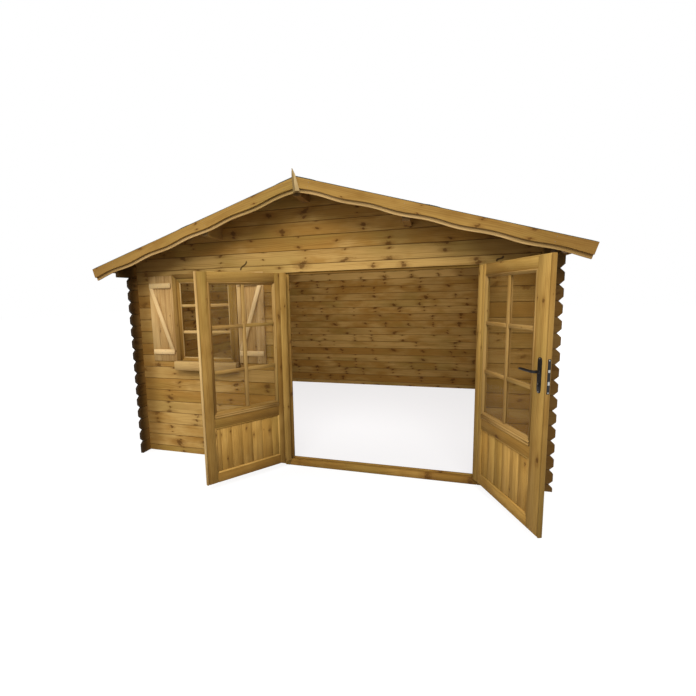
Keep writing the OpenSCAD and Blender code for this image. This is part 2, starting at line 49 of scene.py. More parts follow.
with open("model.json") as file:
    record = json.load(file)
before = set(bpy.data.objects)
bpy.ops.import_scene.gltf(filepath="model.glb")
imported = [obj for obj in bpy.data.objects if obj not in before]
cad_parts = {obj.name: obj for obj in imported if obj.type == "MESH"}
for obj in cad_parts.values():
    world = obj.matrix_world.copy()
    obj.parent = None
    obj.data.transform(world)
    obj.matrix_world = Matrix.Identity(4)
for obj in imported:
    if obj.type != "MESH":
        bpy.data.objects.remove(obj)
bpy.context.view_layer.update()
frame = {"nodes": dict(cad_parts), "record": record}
JOINTS = {joint["name"]: joint for joint in frame["record"]["behaviour"]["joints"]}
SIDES = ("left", "right")

SIDE_PLANE = 1.806      # x of the middle of a side wall's logs
HALF_DEPTH = 1.7215     # half the way from the front wall's logs to the back wall's
BACK_HALF = 1.7         # y past which a piece belongs to the back
DOORWAY_MIDDLE = 0.59   # x of the middle of the doorway
HEADER_FOOT = 1.763     # height of the underside of the log over the doorway
# The back wall's logs above these courses are painted brighter, as painted light.
BRIGHT_COURSES = 15     # courses of the back wall below its brighter logs
CRACKS = (((-0.614, 1.840), 53, 0.056), ((1.512, 1.798), 44, 0.034))  # x and z, slant, half length
WINDOW_BARS = (1.237, 1.491)  # heights of the window's glazing bars

# A door leaf: sizes of its members, hinge stile and lock stile for each side
LEAF = {"width": 0.798, "depth": 0.028,
        "bottom": 0.078, "panel": 0.378, "middle": 0.110, "top": 0.078,
        "left": (0.116, 0.092), "right": (0.100, 0.122),
        "hanging": 0.56,      # outer share of the hinge stile, which has a tone of its own
        "strip": 0.012,       # width of the strip at the meeting edge
        "groove": 0.003,      # groove beside that strip
        "joint": 0.660,       # place of one joint between the panel's boards
        "handle": 0.060}      # from the meeting edge to the spindle

CAMERA = {"place": (1.059, -3.259, 1.539), "pan": 16.93, "tilt": -7.51, "roll": -1.32,
          "lens": 20.13, "shift": (0.0432, 0.0014)}


def srgb(red, green, blue):
    """A screen colour of 0 to 255 as linear light: ((c + 0.055) / 1.055) ** 2.4, or c / 12.92
    when dark."""
    c = np.array([red, green, blue]) / 255
    return tuple(float(v) for v in np.where(c > 0.04045, ((c + 0.055) / 1.055) ** 2.4, c / 12.92))


def box(node):
    """Lowest and highest corner of a CAD node, as arrays."""
    low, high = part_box(node)
    return np.array(low), np.array(high)


# ---------------------------------------------------------------- shapes

HERE = np.eye(4)


def shift(x, y, z):
    """Matrix that moves by x, y and z."""
    m = np.eye(4)
    m[:3, 3] = x, y, z
    return m


def turn(axis, degrees):
    """Matrix that turns by an angle about the x (0), y (1) or z (2) axis."""
    a, b = (axis + 1) % 3, (axis + 2) % 3
    c, s = math.cos(math.radians(degrees)), math.sin(math.radians(degrees))
    m = np.eye(4)
    m[a, a], m[a, b], m[b, a], m[b, b] = c, -s, s, c
    return m


def flip(axis):
    """Matrix that mirrors one axis."""
    m = np.eye(4)
    m[axis, axis] = -1
    return m


def ring_faces(rings, count):
    """Quads between successive rings of points: point j of ring i is i * count + j."""
    i = np.arange(rings - 1)[:, None] * count
    j = np.arange(count)[None, :]
    k, n = i + count, (j + 1) % count
    return np.stack([i + j, i + n, k + n, k + j], -1).reshape(-1, 4)


def smooth_path(points, count):
    """Points along a path through a few given ones: each coordinate is a cubic of the
    distance walked, with slopes taken from the neighbours on both sides."""
    points = np.array(points, float)
    steps = np.linalg.norm(np.diff(points, axis=0), axis=1)
    walked = np.concatenate([[0], np.cumsum(steps)])
    slope = np.gradient(points, walked, axis=0)
    t = np.linspace(0, walked[-1], count)
    k = np.clip(np.searchsorted(walked, t, side="right") - 1, 0, len(points) - 2)
    h = (walked[k + 1] - walked[k])[:, None]
    u = (t - walked[k])[:, None] / h
    return ((1 + 2 * u) * (1 - u) ** 2 * points[k] + u * (1 - u) ** 2 * h * slope[k]
            + u ** 2 * (3 - 2 * u) * points[k + 1] + u ** 2 * (u - 1) * h * slope[k + 1])


class Batch:
    """Closed shapes gathered into one mesh. Each point carries "grain", its place along,
    across and into its own plank, and "tone", one random number per plank; each face
    carries "end", which is 1 where the wood is cut across."""

    def __init__(self, seed):
        self.random = np.random.default_rng(seed)
        self.points, self.grain, self.tone = [], [], []
        self.faces, self.ends, self.count = [], [], 0

    def add(self, points, rings, cut=0.0, grain=None, place=HERE, cap=None):
        """Adds a closed shape of rings of points. cap holds the faces that close the first ring,
        or is left to one face; the last ring gets the same, and both have cut as their "end".
        All faces are turned round if the volume, the sum of a . (b x c) / 6, is negative."""
        points = points @ place[:3, :3].T + place[:3, 3]
        count = len(points) // rings
        cap = np.arange(count)[None] if cap is None else cap
        groups = ((ring_faces(rings, count), 0.0), (cap[:, ::-1], cut),
                  (cap + (rings - 1) * count, cut))
        volume = 0.0
        for faces, _ in groups:
            a = points[faces[:, 0]]
            for k in range(1, faces.shape[1] - 1):
                volume += np.sum(a * np.cross(points[faces[:, k]], points[faces[:, k + 1]]))
        for faces, end in groups:
            self.faces.append((faces[:, ::-1] if volume < 0 else faces) + self.count)
            self.ends.append(np.full(len(faces), end))
        grain = points if grain is None else grain
        self.points.append(points)
        self.grain.append(grain + self.random.uniform(-40, 40, 3))
        self.tone.append(np.full(len(points), self.random.random()))
        self.count += len(points)

    def plank(self, low, high, along, chamfer=0.0015, place=HERE, lean=0.0):
        """A rectangle with cut corners carried along a straight line, drawn in by the chamfer
        at both ends. lean slants the ends: a point moves along by lean times its place across."""
        low, high = np.minimum(low, high), np.maximum(low, high)
        half, middle = (high - low) / 2, (high + low) / 2
        order = [along] + sorted((k for k in range(3) if k != along), key=lambda k: -half[k])
        length, width, depth = half[order]
        c = min(chamfer, width * 0.4, depth * 0.4)
        ring = np.array([[width - c, -depth], [width, c - depth], [width, depth - c],
                         [width - c, depth], [c - width, depth], [-width, depth - c],
                         [-width, c - depth], [c - width, -depth]])
        shrink = np.array([c, 0, 0, c])[:, None, None]
        cross = np.sign(ring) * (np.abs(ring) - shrink)
        run = np.array([-length, c - length, length - c, length])[:, None, None]
        local = np.concatenate([run + lean * cross[..., :1], cross], -1).reshape(-1, 3)
        points = np.empty_like(local)
        points[:, order] = local
        self.add(points + middle, 4, 1.0, local, place)

    def strips(self, low, high, profile, place=HERE):
        """Four mitred strips round a rectangle in x and z. A profile point (p, q) stands p inwards
        from the edge and q along y; at a corner it moves inwards along both edges."""
        (x0, z0), (x1, z1) = low, high
        corners = np.array([[x0, z0], [x1, z0], [x1, z1], [x0, z1]])
        profile = np.array(profile, float)
        p, q = profile[:, :1], profile[:, 1:]
        for k in range(4):
            a, b = corners[k], corners[(k + 1) % 4]
            d = (b - a) / np.linalg.norm(b - a)
            inward = np.array([-d[1], d[0]])
            ends = [a + p * (inward + d), b + p * (inward - d)]
            points = np.concatenate([np.concatenate([e[:, :1], q, e[:, 1:]], -1) for e in ends])
            grain = np.concatenate([np.concatenate([(e - a) @ d[:, None], p, q], -1) for e in ends])
            self.add(points, 2, 1.0, grain, place)

    def rail(self, foot, x0, x1, profile, place=HERE):
        """A moulding from x0 to x1: a profile point (p, q) stands p above the foot, q along y."""
        p, q = np.array(profile, float).T
        points = np.concatenate([np.stack([np.full(len(p), x), q, foot + p], -1) for x in (x0, x1)])
        self.add(points, 2, 1.0, points[:, [0, 2, 1]], place)

    def turned(self, profile, sides, place=HERE):
        """A profile of (radius, height) turned about z: x = r cos t, y = r sin t, z = h."""
        profile = np.array(profile, float)
        t = np.linspace(0, 2 * math.pi, sides, endpoint=False)
        points = np.stack([profile[:, :1] * np.cos(t), profile[:, :1] * np.sin(t),
                           np.repeat(profile[:, 1:], sides, 1)], -1)
        self.add(points.reshape(-1, 3), len(profile), place=place)

    def swept(self, path, ring, up, scale, place=HERE):
        """A closed ring of (side, up) points carried along a path. The side direction is the
        cross product of the path's direction and up, and scale widens each section."""
        path, ring, scale = (np.array(values, float) for values in (path, ring, scale))
        ahead = np.gradient(path, axis=0)
        ahead /= np.linalg.norm(ahead, axis=1)[:, None]
        side = np.cross(ahead, up)
        side /= np.linalg.norm(side, axis=1)[:, None]
        above = np.cross(side, ahead)
        points = path[:, None] + scale[:, None, None] * (ring[None, :, :1] * side[:, None]
                                                         + ring[None, :, 1:] * above[:, None])
        self.add(points.reshape(-1, 3), len(path), place=place)

    def make(self, name, material, slot, replaces=(), body="shed", smooth=False):
        """Puts the gathered arrays into one object with the finish of that name, parents it to its
        body and hides the CAD nodes that it replaces."""
        mesh = bpy.data.meshes.new(name)
        loops = np.concatenate([f.ravel() for f in self.faces])
        sides = np.concatenate([np.full(len(f), f.shape[1]) for f in self.faces])
        mesh.vertices.add(self.count)
        mesh.loops.add(len(loops))
        mesh.polygons.add(len(sides))
        mesh.vertices.foreach_set("co", np.concatenate(self.points).ravel())
        mesh.loops.foreach_set("vertex_index", loops)
        mesh.polygons.foreach_set("loop_start", np.concatenate([[0], np.cumsum(sides)[:-1]]))
        mesh.polygons.foreach_set("loop_total", sides)
        mesh.update(calc_edges=True)
        for key, kind, domain, field, values in (
                ("grain", "FLOAT_VECTOR", "POINT", "vector", self.grain),
                ("tone", "FLOAT", "POINT", "value", self.tone),
                ("end", "FLOAT", "FACE", "value", self.ends)):
            data = mesh.attributes.new(key, kind, domain).data
            data.foreach_set(field, np.concatenate(values).ravel())
        if smooth:
            mesh.shade_smooth()
            mesh.set_sharp_from_angle(angle=math.radians(35))
        mesh.materials.append(finish(material))
        piece = bpy.data.objects.new(name, mesh)
        bpy.context.scene.collection.objects.link(piece)
        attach(piece, body)
        if replaces:
            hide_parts(*replaces)


# ---------------------------------------------------------------- finishes

def maths(operation, turned=False):
    """An operator that adds one Math node, with its two values in their order or turned round."""
    def apply(self, other=0.0):
        return self.paint.math(operation, *((other, self) if turned else (self, other)))
    return apply


class Value:
    """One number in a material. Arithmetic on it adds Math nodes, in either order."""

    def __init__(self, paint, socket):
        self.paint, self.socket = paint, socket

    __add__ = __radd__ = maths("ADD")
    __mul__ = __rmul__ = maths("MULTIPLY")
    __sub__, __rsub__ = maths("SUBTRACT"), maths("SUBTRACT", True)
    __truediv__, __rtruediv__ = maths("DIVIDE"), maths("DIVIDE", True)
    __pow__, __abs__ = maths("POWER"), maths("ABSOLUTE")
    __gt__, __lt__ = maths("GREATER_THAN"), maths("LESS_THAN")


class Paint:
    """A material, or a world, and the nodes that are added to it."""

    def __init__(self, name, material=None):
        self.name, self.material = name, material or bpy.data.materials.new(name)
        self.material.use_nodes = True
        self.tree = self.material.node_tree
        self.shader = self.tree.nodes.get("Principled BSDF")

    def node(self, kind, settings=None, sockets=None, out=0):
        """Adds a shader node: its settings first, then its sockets' values or links."""
        made = self.tree.nodes.new("ShaderNode" + kind)
        for key, value in (settings or {}).items():
            setattr(made, key, value)
        for key, value in (sockets or {}).items():
            self.feed(made.inputs[key], value)
        return Value(self, made.outputs[out])

    def feed(self, socket, value):
        """Links a value to a socket, or sets the socket to a plain number or colour."""
        if isinstance(value, Value):
            self.tree.links.new(value.socket, socket)
        elif isinstance(value, tuple) and socket.type == "RGBA":
            socket.default_value = (*value, 1.0)
        else:
            socket.default_value = value

    def math(self, operation, a, b=0.0):
        return self.node("Math", {"operation": operation}, {0: a, 1: b})

    def most(self, a, b):
        return self.math("MAXIMUM", a, b)

    def vector(self, x, y, z):
        return self.node("CombineXYZ", None, {0: x, 1: y, 2: z})

    def parts(self, vector):
        split = self.node("SeparateXYZ", None, {0: vector}).socket.node
        return [Value(self, o) for o in split.outputs]

    def mix(self, factor, a, b):
        return self.node("Mix", {"data_type": "RGBA"}, {0: factor, 6: a, 7: b}, 2)

    def ramp(self, value, low, high, at_low=0.0, at_high=1.0):
        """Smooth step from at_low to at_high as value goes from low to high."""
        return self.node("MapRange", {"interpolation_type": "SMOOTHSTEP"},
                         {0: value, 1: low, 2: high, 3: at_low, 4: at_high})

    def near(self, value, low, high):
        """1 up to low, falling smoothly to 0 at high."""
        return self.ramp(value, low, high, 1.0, 0.0)

    def random(self, vector):
        """Three random numbers for each value of a vector."""
        return self.parts(self.node("TexWhiteNoise", {"noise_dimensions": "3D"},
                                    {"Vector": vector}, "Color"))

    def noise(self, vector, scale=1.0, detail=2.0, rough=0.5):
        return self.node("TexNoise", None,
                         {"Vector": vector, "Scale": scale, "Detail": detail, "Roughness": rough})

    def bump(self, height, strength, distance):
        return self.node("Bump", None,
                         {"Strength": strength, "Distance": distance, "Height": height})

    def carried(self, name, out="Fac"):
        """What the mesh carries under that name."""
        return self.node("Attribute", {"attribute_name": name}, None, out)

    def point(self):
        """The point's place on the object."""
        return self.node("TexCoord", None, None, "Object")

    def place(self):
        """The same, split into x, y and z."""
        return self.parts(self.point())

    def facing(self, axis):
        """How far the surface faces along an axis of the object, from -1 to 1."""
        return self.parts(self.node("TexCoord", None, None, "Normal"))[axis]

    def seen(self):
        """1 for what is looked at directly, or through or in something shiny; 0 for light that
        is thrown."""
        rays = self.node("LightPath").socket.node
        camera, glossy, through = (Value(self, rays.outputs[f"Is {kind} Ray"])
                                   for kind in ("Camera", "Glossy", "Transmission"))
        return self.most(camera, self.most(glossy, through))

    def output(self, kind, surface):
        """Joins a shader to the tree's output of that kind."""
        target = next(node for node in self.tree.nodes if node.type == kind)
        self.feed(target.inputs["Surface"], surface)

    def finish(self, **sockets):
        """Sets the shader's sockets by name, with _ for a space."""
        for key, value in sockets.items():
            self.feed(self.shader.inputs[key.replace("_", " ")], value)
        return self.material


# Each wood: its pale and deep tone, how far its planks vary, the size of a knot, the length of
# plank that has one whorl, the share of places with a knot, and how strongly streaks and the
# planks' own tones show; then what else differs from the common look. A tone is a screen colour,
# or the name of one that the user can set.
COLUMNS = ("pale", "deep", "vary", "knot", "knot_cell", "knot_share", "streaks", "tones")
WOODS = {
    "front_log_wood": ("pale", "deep", 0.32, 0.024, 0.42, 0.8, 0.42, 0.19),
    # The side logs' darker cut ends and tips are end grain with painted shade.
    "side_log_wood": ("pale", "deep", 0.32, 0.024, 0.42, 0.8, 0.42, 0.19,
                      {"tips": 0.86, "cut": (44, 31, 16)}),
    "purlin_wood": ((170, 134, 82), (140, 104, 58), 0.32, 0.024, 0.6, 0.8, 0.42, 0.19),
    # The bargeboards and lip strips darken toward their lower ends as painted shade.
    "bargeboard_wood": ((166, 129, 66), (142, 104, 46), 0.3, 0.022, 0.5, 0.7, 0.35, 0.15,
                        {"dark": (104, 70, 30), "weather": 0.7}),
    "fascia_wood": ((166, 129, 66), (142, 104, 46), 0.3, 0.022, 0.5, 0.7, 0.35, 0.15,
                    {"dark": (104, 70, 30)}),
    "lip_strip_wood": ((204, 170, 114), (182, 146, 90), 0.2, 0.005, 0.42, 0.3, 0.35, 0.1,
                       {"dark": (134, 98, 44), "cut": (70, 48, 22), "weather": 0.85}),
    # The finials' left facets take painted shade.
    "finial_wood": ((192, 166, 118), (164, 136, 88), 0.2, 0.005, 0.42, 0.3, 0.35, 0.1,
                    {"dark": (112, 92, 56), "cut": (70, 48, 22), "weather": 0.7}),
    "roof_board_wood": ((168, 132, 80), (138, 102, 56), 0.7, 0.024, 0.42, 0.8, 0.42, 0.19),
    "joinery_wood": ((176, 138, 72), (148, 110, 50), 0.35, 0.02, 0.5, 0.4, 0.42, 0.2),
    # A lighter copy of the joinery wood for the right leaf, as painted light.
    "sunned_joinery_wood": ((192, 153, 82), (164, 124, 59), 0.35, 0.02, 0.5, 0.4, 0.42, 0.2),
    "frame_joinery_wood": ((158, 122, 64), (126, 92, 42), 0.35, 0.014, 0.42, 0.3, 0.45, 0.3),
    "panel_board_wood": ((204, 162, 88), (178, 136, 66), 0.35, 0.014, 0.4, 0.3, 0.45, 0.15),
    "meeting_strip_wood": ((166, 130, 68), (146, 110, 52), 0.3, 0.006, 0.42, 0.3, 0.3, 0.1),
    "bead_wood": ((184, 148, 88), (158, 120, 62), 0.4, 0.006, 0.42, 0.4, 0.4, 0.25),
    # Paler joinery for the window's glazing bars; on the left leaf's meeting strip it is a painted
    # highlight.
    "bright_joinery_wood": ((214, 180, 120), (188, 150, 90), 0.2, 0.006, 0.42, 0.3, 0.3, 0.1,
                            {"stain": 0.2}),
    "hanging_stile_wood": ((188, 150, 80), (166, 128, 62), 0.2, 0.02, 0.45, 0.55, 0.3, 0.1),
    "pale_board_wood": ((212, 176, 118), (188, 150, 94), 0.3, 0.016, 0.4, 0.4, 0.6, 0.15,
                        {"dark": (146, 106, 58), "olive": (186, 156, 102), "halo": (160, 118, 68),
                         "ends": 0.3}),
    "sill_board_wood": ((192, 158, 100), (170, 134, 80), 0.3, 0.008, 0.42, 0.3, 0.5, 0.1,
                        {"dark": (136, 100, 56), "olive": (172, 142, 90), "ends": 0.3}),
    "pale_trim_wood": ("trim", (222, 188, 132), 0.2, 0.004, 0.42, 0.3, 0.3, 0.05,
                       {"dark": (176, 138, 86), "olive": (214, 184, 128), "ends": 0.3}),
}
# Some of these strengths are painted light. The darkening of shaded places is painted shade, the
# darkening of log tips is aged end grain with painted shade, and the bright tone is painted light.
COMMON = {"dark": (118, 82, 34), "olive": (150, 126, 62), "halo": (116, 76, 30),
          "knot_colour": (80, 46, 14), "cut": (62, 43, 21), "bright": (212, 172, 104),
          "stain": 0.5, "tips": 0.62, "joint": 0.5, "ends": 0.88, "weather": 0.55}


def shade(value):
    """Linear light of a screen colour, or of a colour that the user can set, by its name."""
    if isinstance(value, str):
        return tuple(getattr(bpy.context.scene.shed_colours, value))
    return srgb(*value)


def look(name):
    """All settings of a wood, its colours as linear light."""
    settings = {**COMMON, **dict(zip(COLUMNS, WOODS[name]))}
    for changes in WOODS[name][len(COLUMNS):]:
        settings.update(changes)
    return {key: value if isinstance(value, float) else shade(value)
            for key, value in settings.items()}


def knots(paint, along, across, seed, cell, row, size, share):
    """Knots in whorls, as branches grow: each stretch of the given cell length has one whorl, and
    each row across it may have one knot, a slanting blot with a ragged edge. Returns how far a
    point is inside a knot, how near it is to one along the grain, and how far it lies across from
    its middle."""
    x, y = along / cell + seed * 7.31, across / row + seed * 3.77
    column, line = paint.math("FLOOR", x), paint.math("FLOOR", y)
    shift_x, _, _ = paint.random(paint.vector(column, 0.5, seed))
    chance, shift_y, grown = paint.random(paint.vector(column, line, seed + 0.5))
    dx = (x - column - 0.22 - shift_x * 0.56) * cell + (grown - 0.5) * 0.03
    dy = (y - line - 0.34 - shift_y * 0.32) * row
    slant = dx + dy * (chance - 0.5 * share) * 3.0
    ragged = paint.noise(paint.vector(along * 42.0, across * 64.0, seed), 1.0, 3.0, 0.65) - 0.5
    radius = (grown * 0.8 + 0.45) * size * (chance < share) + 0.0001
    core = paint.math("SQRT", (slant * 0.8) ** 2.0 + dy ** 2.0) / radius + ragged * 2.0
    halo = paint.math("SQRT", (slant * 0.36) ** 2.0 + dy ** 2.0) / radius + ragged * 1.2
    return paint.near(core, 0.45, 1.15), paint.near(halo, 0.4, 1.7), dy


def wood(paint, along, across, depth, seed, end, joint=None, tip=None, corner=None, bright=None):
    """Planed softwood. Growth rings show as streaks along the plank, which bend round knots;
    colour drifts between pale, deep and olive along it. Cut ends, joints and tips are darker. On tips
    this is aged end grain with painted shade, and for the lip strips the joint mask carries a
    painted shadow. The corner mask is painted shade toward the dark tone, and bright is painted
    light toward the bright tone."""
    style = look(paint.name)
    cell, size, share = style["knot_cell"], style["knot"], style["knot_share"]
    core, near, dy = knots(paint, along, across, seed, cell, 0.118, size, share)
    core2, near2, dy2 = knots(paint, along, across, seed, cell, 0.051, size * 0.55, share * 0.7)
    bent = across - dy * near * 0.6 - dy2 * near2 * 0.5
    sway = paint.noise(paint.vector(along * 0.9, bent * 5.0, seed + depth * 3.0))
    ring_width = 0.013
    rings = paint.math("SINE", (bent + sway * 0.11 + depth * 0.4) * (2 * math.pi / ring_width))
    streak = paint.noise(paint.vector(along * 1.6, bent * 30.0, depth * 30.0 + seed), 1.0, 3.0, 0.6)
    fibre = paint.noise(paint.vector(along * 9.0, bent * 260.0, depth * 200.0 + seed), 1.0, 2.0, 0.6)
    drift = paint.noise(paint.vector(along * 2.3, across * 6.0, seed * 1.9), 1.0, 3.0, 0.6)
    stain = paint.noise(paint.vector(along * 1.1, across * 3.0, seed * 5.3))
    lot, tone, _ = paint.random(paint.vector(seed, 0.37, 0.0))
    pale = paint.ramp(drift + lot * style["vary"] - style["vary"] / 2, 0.34, 0.66)
    heart = paint.most(core, core2)
    body = paint.mix(pale, style["deep"], style["pale"])
    for amount, strength, toward in (
            (paint.ramp(stain, 0.48, 0.72), style["stain"], "olive"),
            (paint.ramp(rings * 0.1 + streak, 0.42, 0.74), style["streaks"], "dark"),
            # bright is painted light
            (tone, style["tones"], "dark"), (bright, 0.55, "bright"),
            (paint.most(near, near2), 0.42, "halo"), (heart, 0.72, "knot_colour"),
            # painted shade toward the dark tone, and on tips aged end grain with painted shade
            (corner, style["weather"], "dark"), (tip, style["tips"], "cut"),
            (end, style["ends"], "cut"), (joint, style["joint"], "cut")):
        if amount is not None:
            body = paint.mix(amount * strength, body, style[toward])
    height = rings * 0.2 + streak * 0.4 + fibre * 0.35 - heart * 0.3
    return paint.finish(Base_Color=body, Normal=paint.bump(height, 0.35, 0.002),
                        Specular_IOR_Level=0.15,
                        Roughness=paint.ramp(streak + fibre * 0.4, 0.3, 1.0, 0.62, 0.82))


def plank_wood(name):
    """Wood for pieces made as planks, whose points carry their place on the plank."""
    paint = Paint(name)
    along, across, depth = paint.parts(paint.carried("grain", "Vector"))
    return wood(paint, along, across, depth, paint.carried("tone") * 97.0, paint.carried("end"))


def crack(paint, x, z, middle, angle, half):
    """A short dark crack about a slanting line: it swings aside by 8 mm sin(pi u / half) over
    its length."""
    c, s = math.cos(math.radians(angle)), math.sin(math.radians(angle))
    dx, dz = x - middle[0], z - middle[1]
    u = dx * c + dz * s
    v = dz * c - dx * s + paint.math("SINE", u * (math.pi / half)) * 0.008
    return paint.near(abs(v), 0.005, 0.010) * paint.near(abs(u), half * 0.8, half)


def course_wood(name, run, pitch, first):
    """Wood for a wall of logs along x (0) or y (1). The course number, floor((z - first) / pitch),
    picks each log's pattern, and a thin dark line follows each joint. Log ends past the corners
    are darker, as aged end grain with painted shade. Painted shade darkens the logs near the corners
    and under the eaves. It also darkens the front wall's outer face right of the doorway, below the
    log over it, where the open right leaf shades it. Painted light brightens the back wall's upper
    logs."""
    paint = Paint(name)
    place = paint.place()
    along, other, z = place[run], place[1 - run], place[2]
    rise = (z - first) / pitch
    course = paint.math("FLOOR", rise)
    part = rise - course
    joint = paint.near(paint.math("MINIMUM", part, 1.0 - part) * pitch, 0.0008, 0.0065)
    end = paint.ramp(abs(paint.facing(run)), 0.3, 0.6)
    if run == 0:
        far, middle, reach, fade = other > BACK_HALF, 0.0, SIDE_PLANE, 0.06
    else:
        far, middle, reach, fade = other > 0.0, HALF_DEPTH, HALF_DEPTH, 0.11
    past = abs(along - middle) - reach
    # painted shade with aged end grain on the log ends past the corners
    tip = paint.ramp(past, -0.02, fade)
    # painted shade near the corners and under the eaves
    corner = paint.ramp(past + paint.ramp(z, 1.70, 1.92) * 0.35, -0.24, -0.06)
    seed, bright = course + far * 53.0, None
    if run == 0:
        beside, outside = (along > DOORWAY_MIDDLE) * (z < HEADER_FOOT), other < 0.0
        seed = seed + beside * (1.0 - far) * 29.0
        # painted light: the back wall's logs above the lowest courses are brighter
        bright = far * (z > first + BRIGHT_COURSES * pitch)
        # painted shade on the front wall right of the doorway, where the open right leaf shades it
        corner = paint.most(corner, beside * outside * 0.75)
        cracks = paint.most(*(crack(paint, along, z, *each) for each in CRACKS))
        joint = paint.most(joint, cracks * outside * 1.8)
    return wood(paint, along, part * pitch, other, seed, end, joint, tip, corner, bright)


def beam_wood(name):
    """Wood for beams along y."""
    paint = Paint(name)
    x, y, z = paint.place()
    end = paint.ramp(abs(paint.facing(1)), 0.3, 0.6)
    return wood(paint, y, z, x, paint.math("FLOOR", x * 3.0 + 0.5), end)


def slope_wood(name, slope, tuck=None):
    """Wood for boards along the roof's two slopes: along = |x| cos a - z sin a and
    across = |x| sin a + z cos a. tuck is the height of the ridge: wood that lies close under
    the wavy edge of the boards in front, 75 mm + 5.5 mm cos of its place, is darker, as a painted
    shadow of those boards. The lower ends are darker, as painted shade."""
    paint = Paint(name)
    x, y, z = paint.place()
    c, s = math.cos(slope), math.sin(slope)
    out = abs(x)
    along, across = out * c - z * s, out * s + z * c
    seed = (x > 0.0) * 17.0 + (y > BACK_HALF) * 31.0 + 3.0
    end = paint.ramp(abs(paint.facing(0)), 0.8, 0.9)
    if tuck is None:
        # painted shade toward the lower ends
        return wood(paint, along, across, y, seed, end, corner=paint.ramp(along, 0.6, 1.9))
    # painted shade toward the lower ends
    end_shade = paint.ramp(along, 0.9, 1.6)
    first_crest, wave_length, swing, middle = 0.41, 0.44, 0.0055, 0.075
    turns = (along + (tuck * s - first_crest)) * (2 * math.pi / wave_length)
    below = (tuck * c - across) - (paint.math("COSINE", turns) * swing + middle)
    # painted shadow of the boards in front, fading toward the lower ends
    joint = paint.near(below, 0.004, 0.009) * (1.0 - end_shade * 0.8)
    return wood(paint, along, across, y, seed, end, joint, corner=end_shade)


def upright_wood(name):
    """Wood for an upright CAD piece, darker on its left side as painted shade."""
    paint = Paint(name)
    x, y, z = paint.place()
    end = paint.ramp(abs(paint.facing(2)), 0.8, 0.95)
    # painted shade on the faces turned toward -x
    left = paint.near(paint.facing(0), -0.5, -0.1)
    return wood(paint, z, x, y, paint.math("FLOOR", x * 9.0), end, corner=left)


def metal(name, colour, rough, metallic):
    """Metal or paint on metal, with fine scratches and slight smudges in its gloss."""
    paint, colour = Paint(name), shade(colour)
    smudge = paint.noise(paint.point(), 60.0, 4.0, 0.6)
    grit = paint.noise(paint.point(), 900.0, 2.0, 0.6)
    body = paint.mix(paint.ramp(smudge, 0.35, 0.75), colour, tuple(v * 0.75 for v in colour))
    return paint.finish(Base_Color=body, Metallic=metallic, Normal=paint.bump(grit, 0.15, 0.0004),
                        Roughness=paint.ramp(smudge, 0.3, 0.8, rough, rough + 0.18))


def felt_finish(name):
    """Mineral felt: fine dark green-grey grit with paler grains and broad weathering patches, and a
    tone for each sheet."""
    paint = Paint(name)
    point = paint.point()
    grit = paint.node("TexVoronoi", None, {"Vector": point, "Scale": 420.0}, "Color")
    grain = paint.parts(grit)[0]
    patch = paint.noise(point, 1.6, 4.0, 0.6)
    fleck = paint.noise(point, 160.0, 3.0, 0.7)
    pale = paint.ramp(patch * 0.5 + fleck * 0.6, 0.4, 0.75)
    body = paint.mix(pale, shade("felt"), srgb(74, 79, 74))
    body = paint.mix(paint.carried("tone") * 0.45, body, srgb(40, 44, 42))
    body = paint.mix(paint.ramp(grain, 0.78, 0.9), body, srgb(132, 136, 128))
    return paint.finish(Base_Color=body, Roughness=0.92, Specular_IOR_Level=0.2,
                        Normal=paint.bump(grain * 0.6 + fleck, 0.6, 0.0015))


def glass_finish(name, low, high):
    """Thin clear glazing: mostly see-through, with a faint brown film, from low to high, and a sharp
    shine. The thicker film on the door leaves is painted shade on what is seen through them."""
    paint = Paint(name)
    film = paint.noise(paint.point(), 5.0, 4.0, 0.65)
    return paint.finish(Base_Color=srgb(90, 68, 24), Roughness=0.04, IOR=1.45,
                        Alpha=paint.ramp(film, 0.35, 0.8, low, high))


FINISHES = {
    "black_ironwork": (metal, "ironwork", 0.42, 0.25),
    "bright_steel": (metal, (190, 190, 186), 0.28, 1.0),
    "galvanised_steel": (metal, (150, 152, 150), 0.5, 1.0),
    "mineral_felt": (felt_finish,),
    "clear_glazing": (glass_finish, 0.01, 0.03),
    # painted shade: a thicker film that darkens what is seen through the leaves
    "leaf_glazing": (glass_finish, 0.07, 0.12),
}


def finish(name):
    """The finish of that name, made at its first use; one that has no row above is plank wood."""
    maker, *values = FINISHES.get(name, (plank_wood,))
    return bpy.data.materials.get(name) or maker(name, *values)


def dress(material, *nodes):
    """Puts a finish on CAD nodes."""
    for node in nodes:
        for place in frame["nodes"][node].material_slots:
            place.material = material


# ---------------------------------------------------------------- settings

def metres(name, description, default):
    """A length that the user can change."""
    return bpy.props.FloatProperty(name=name, description=description, default=default, min=0.0,
                                   subtype="DISTANCE", unit="LENGTH")


def tint(name, description, *default):
    """A colour that the user can change."""
    return bpy.props.FloatVectorProperty(name=name, description=description, default=srgb(*default),
                                         size=3, min=0.0, max=1.0, subtype="COLOR")


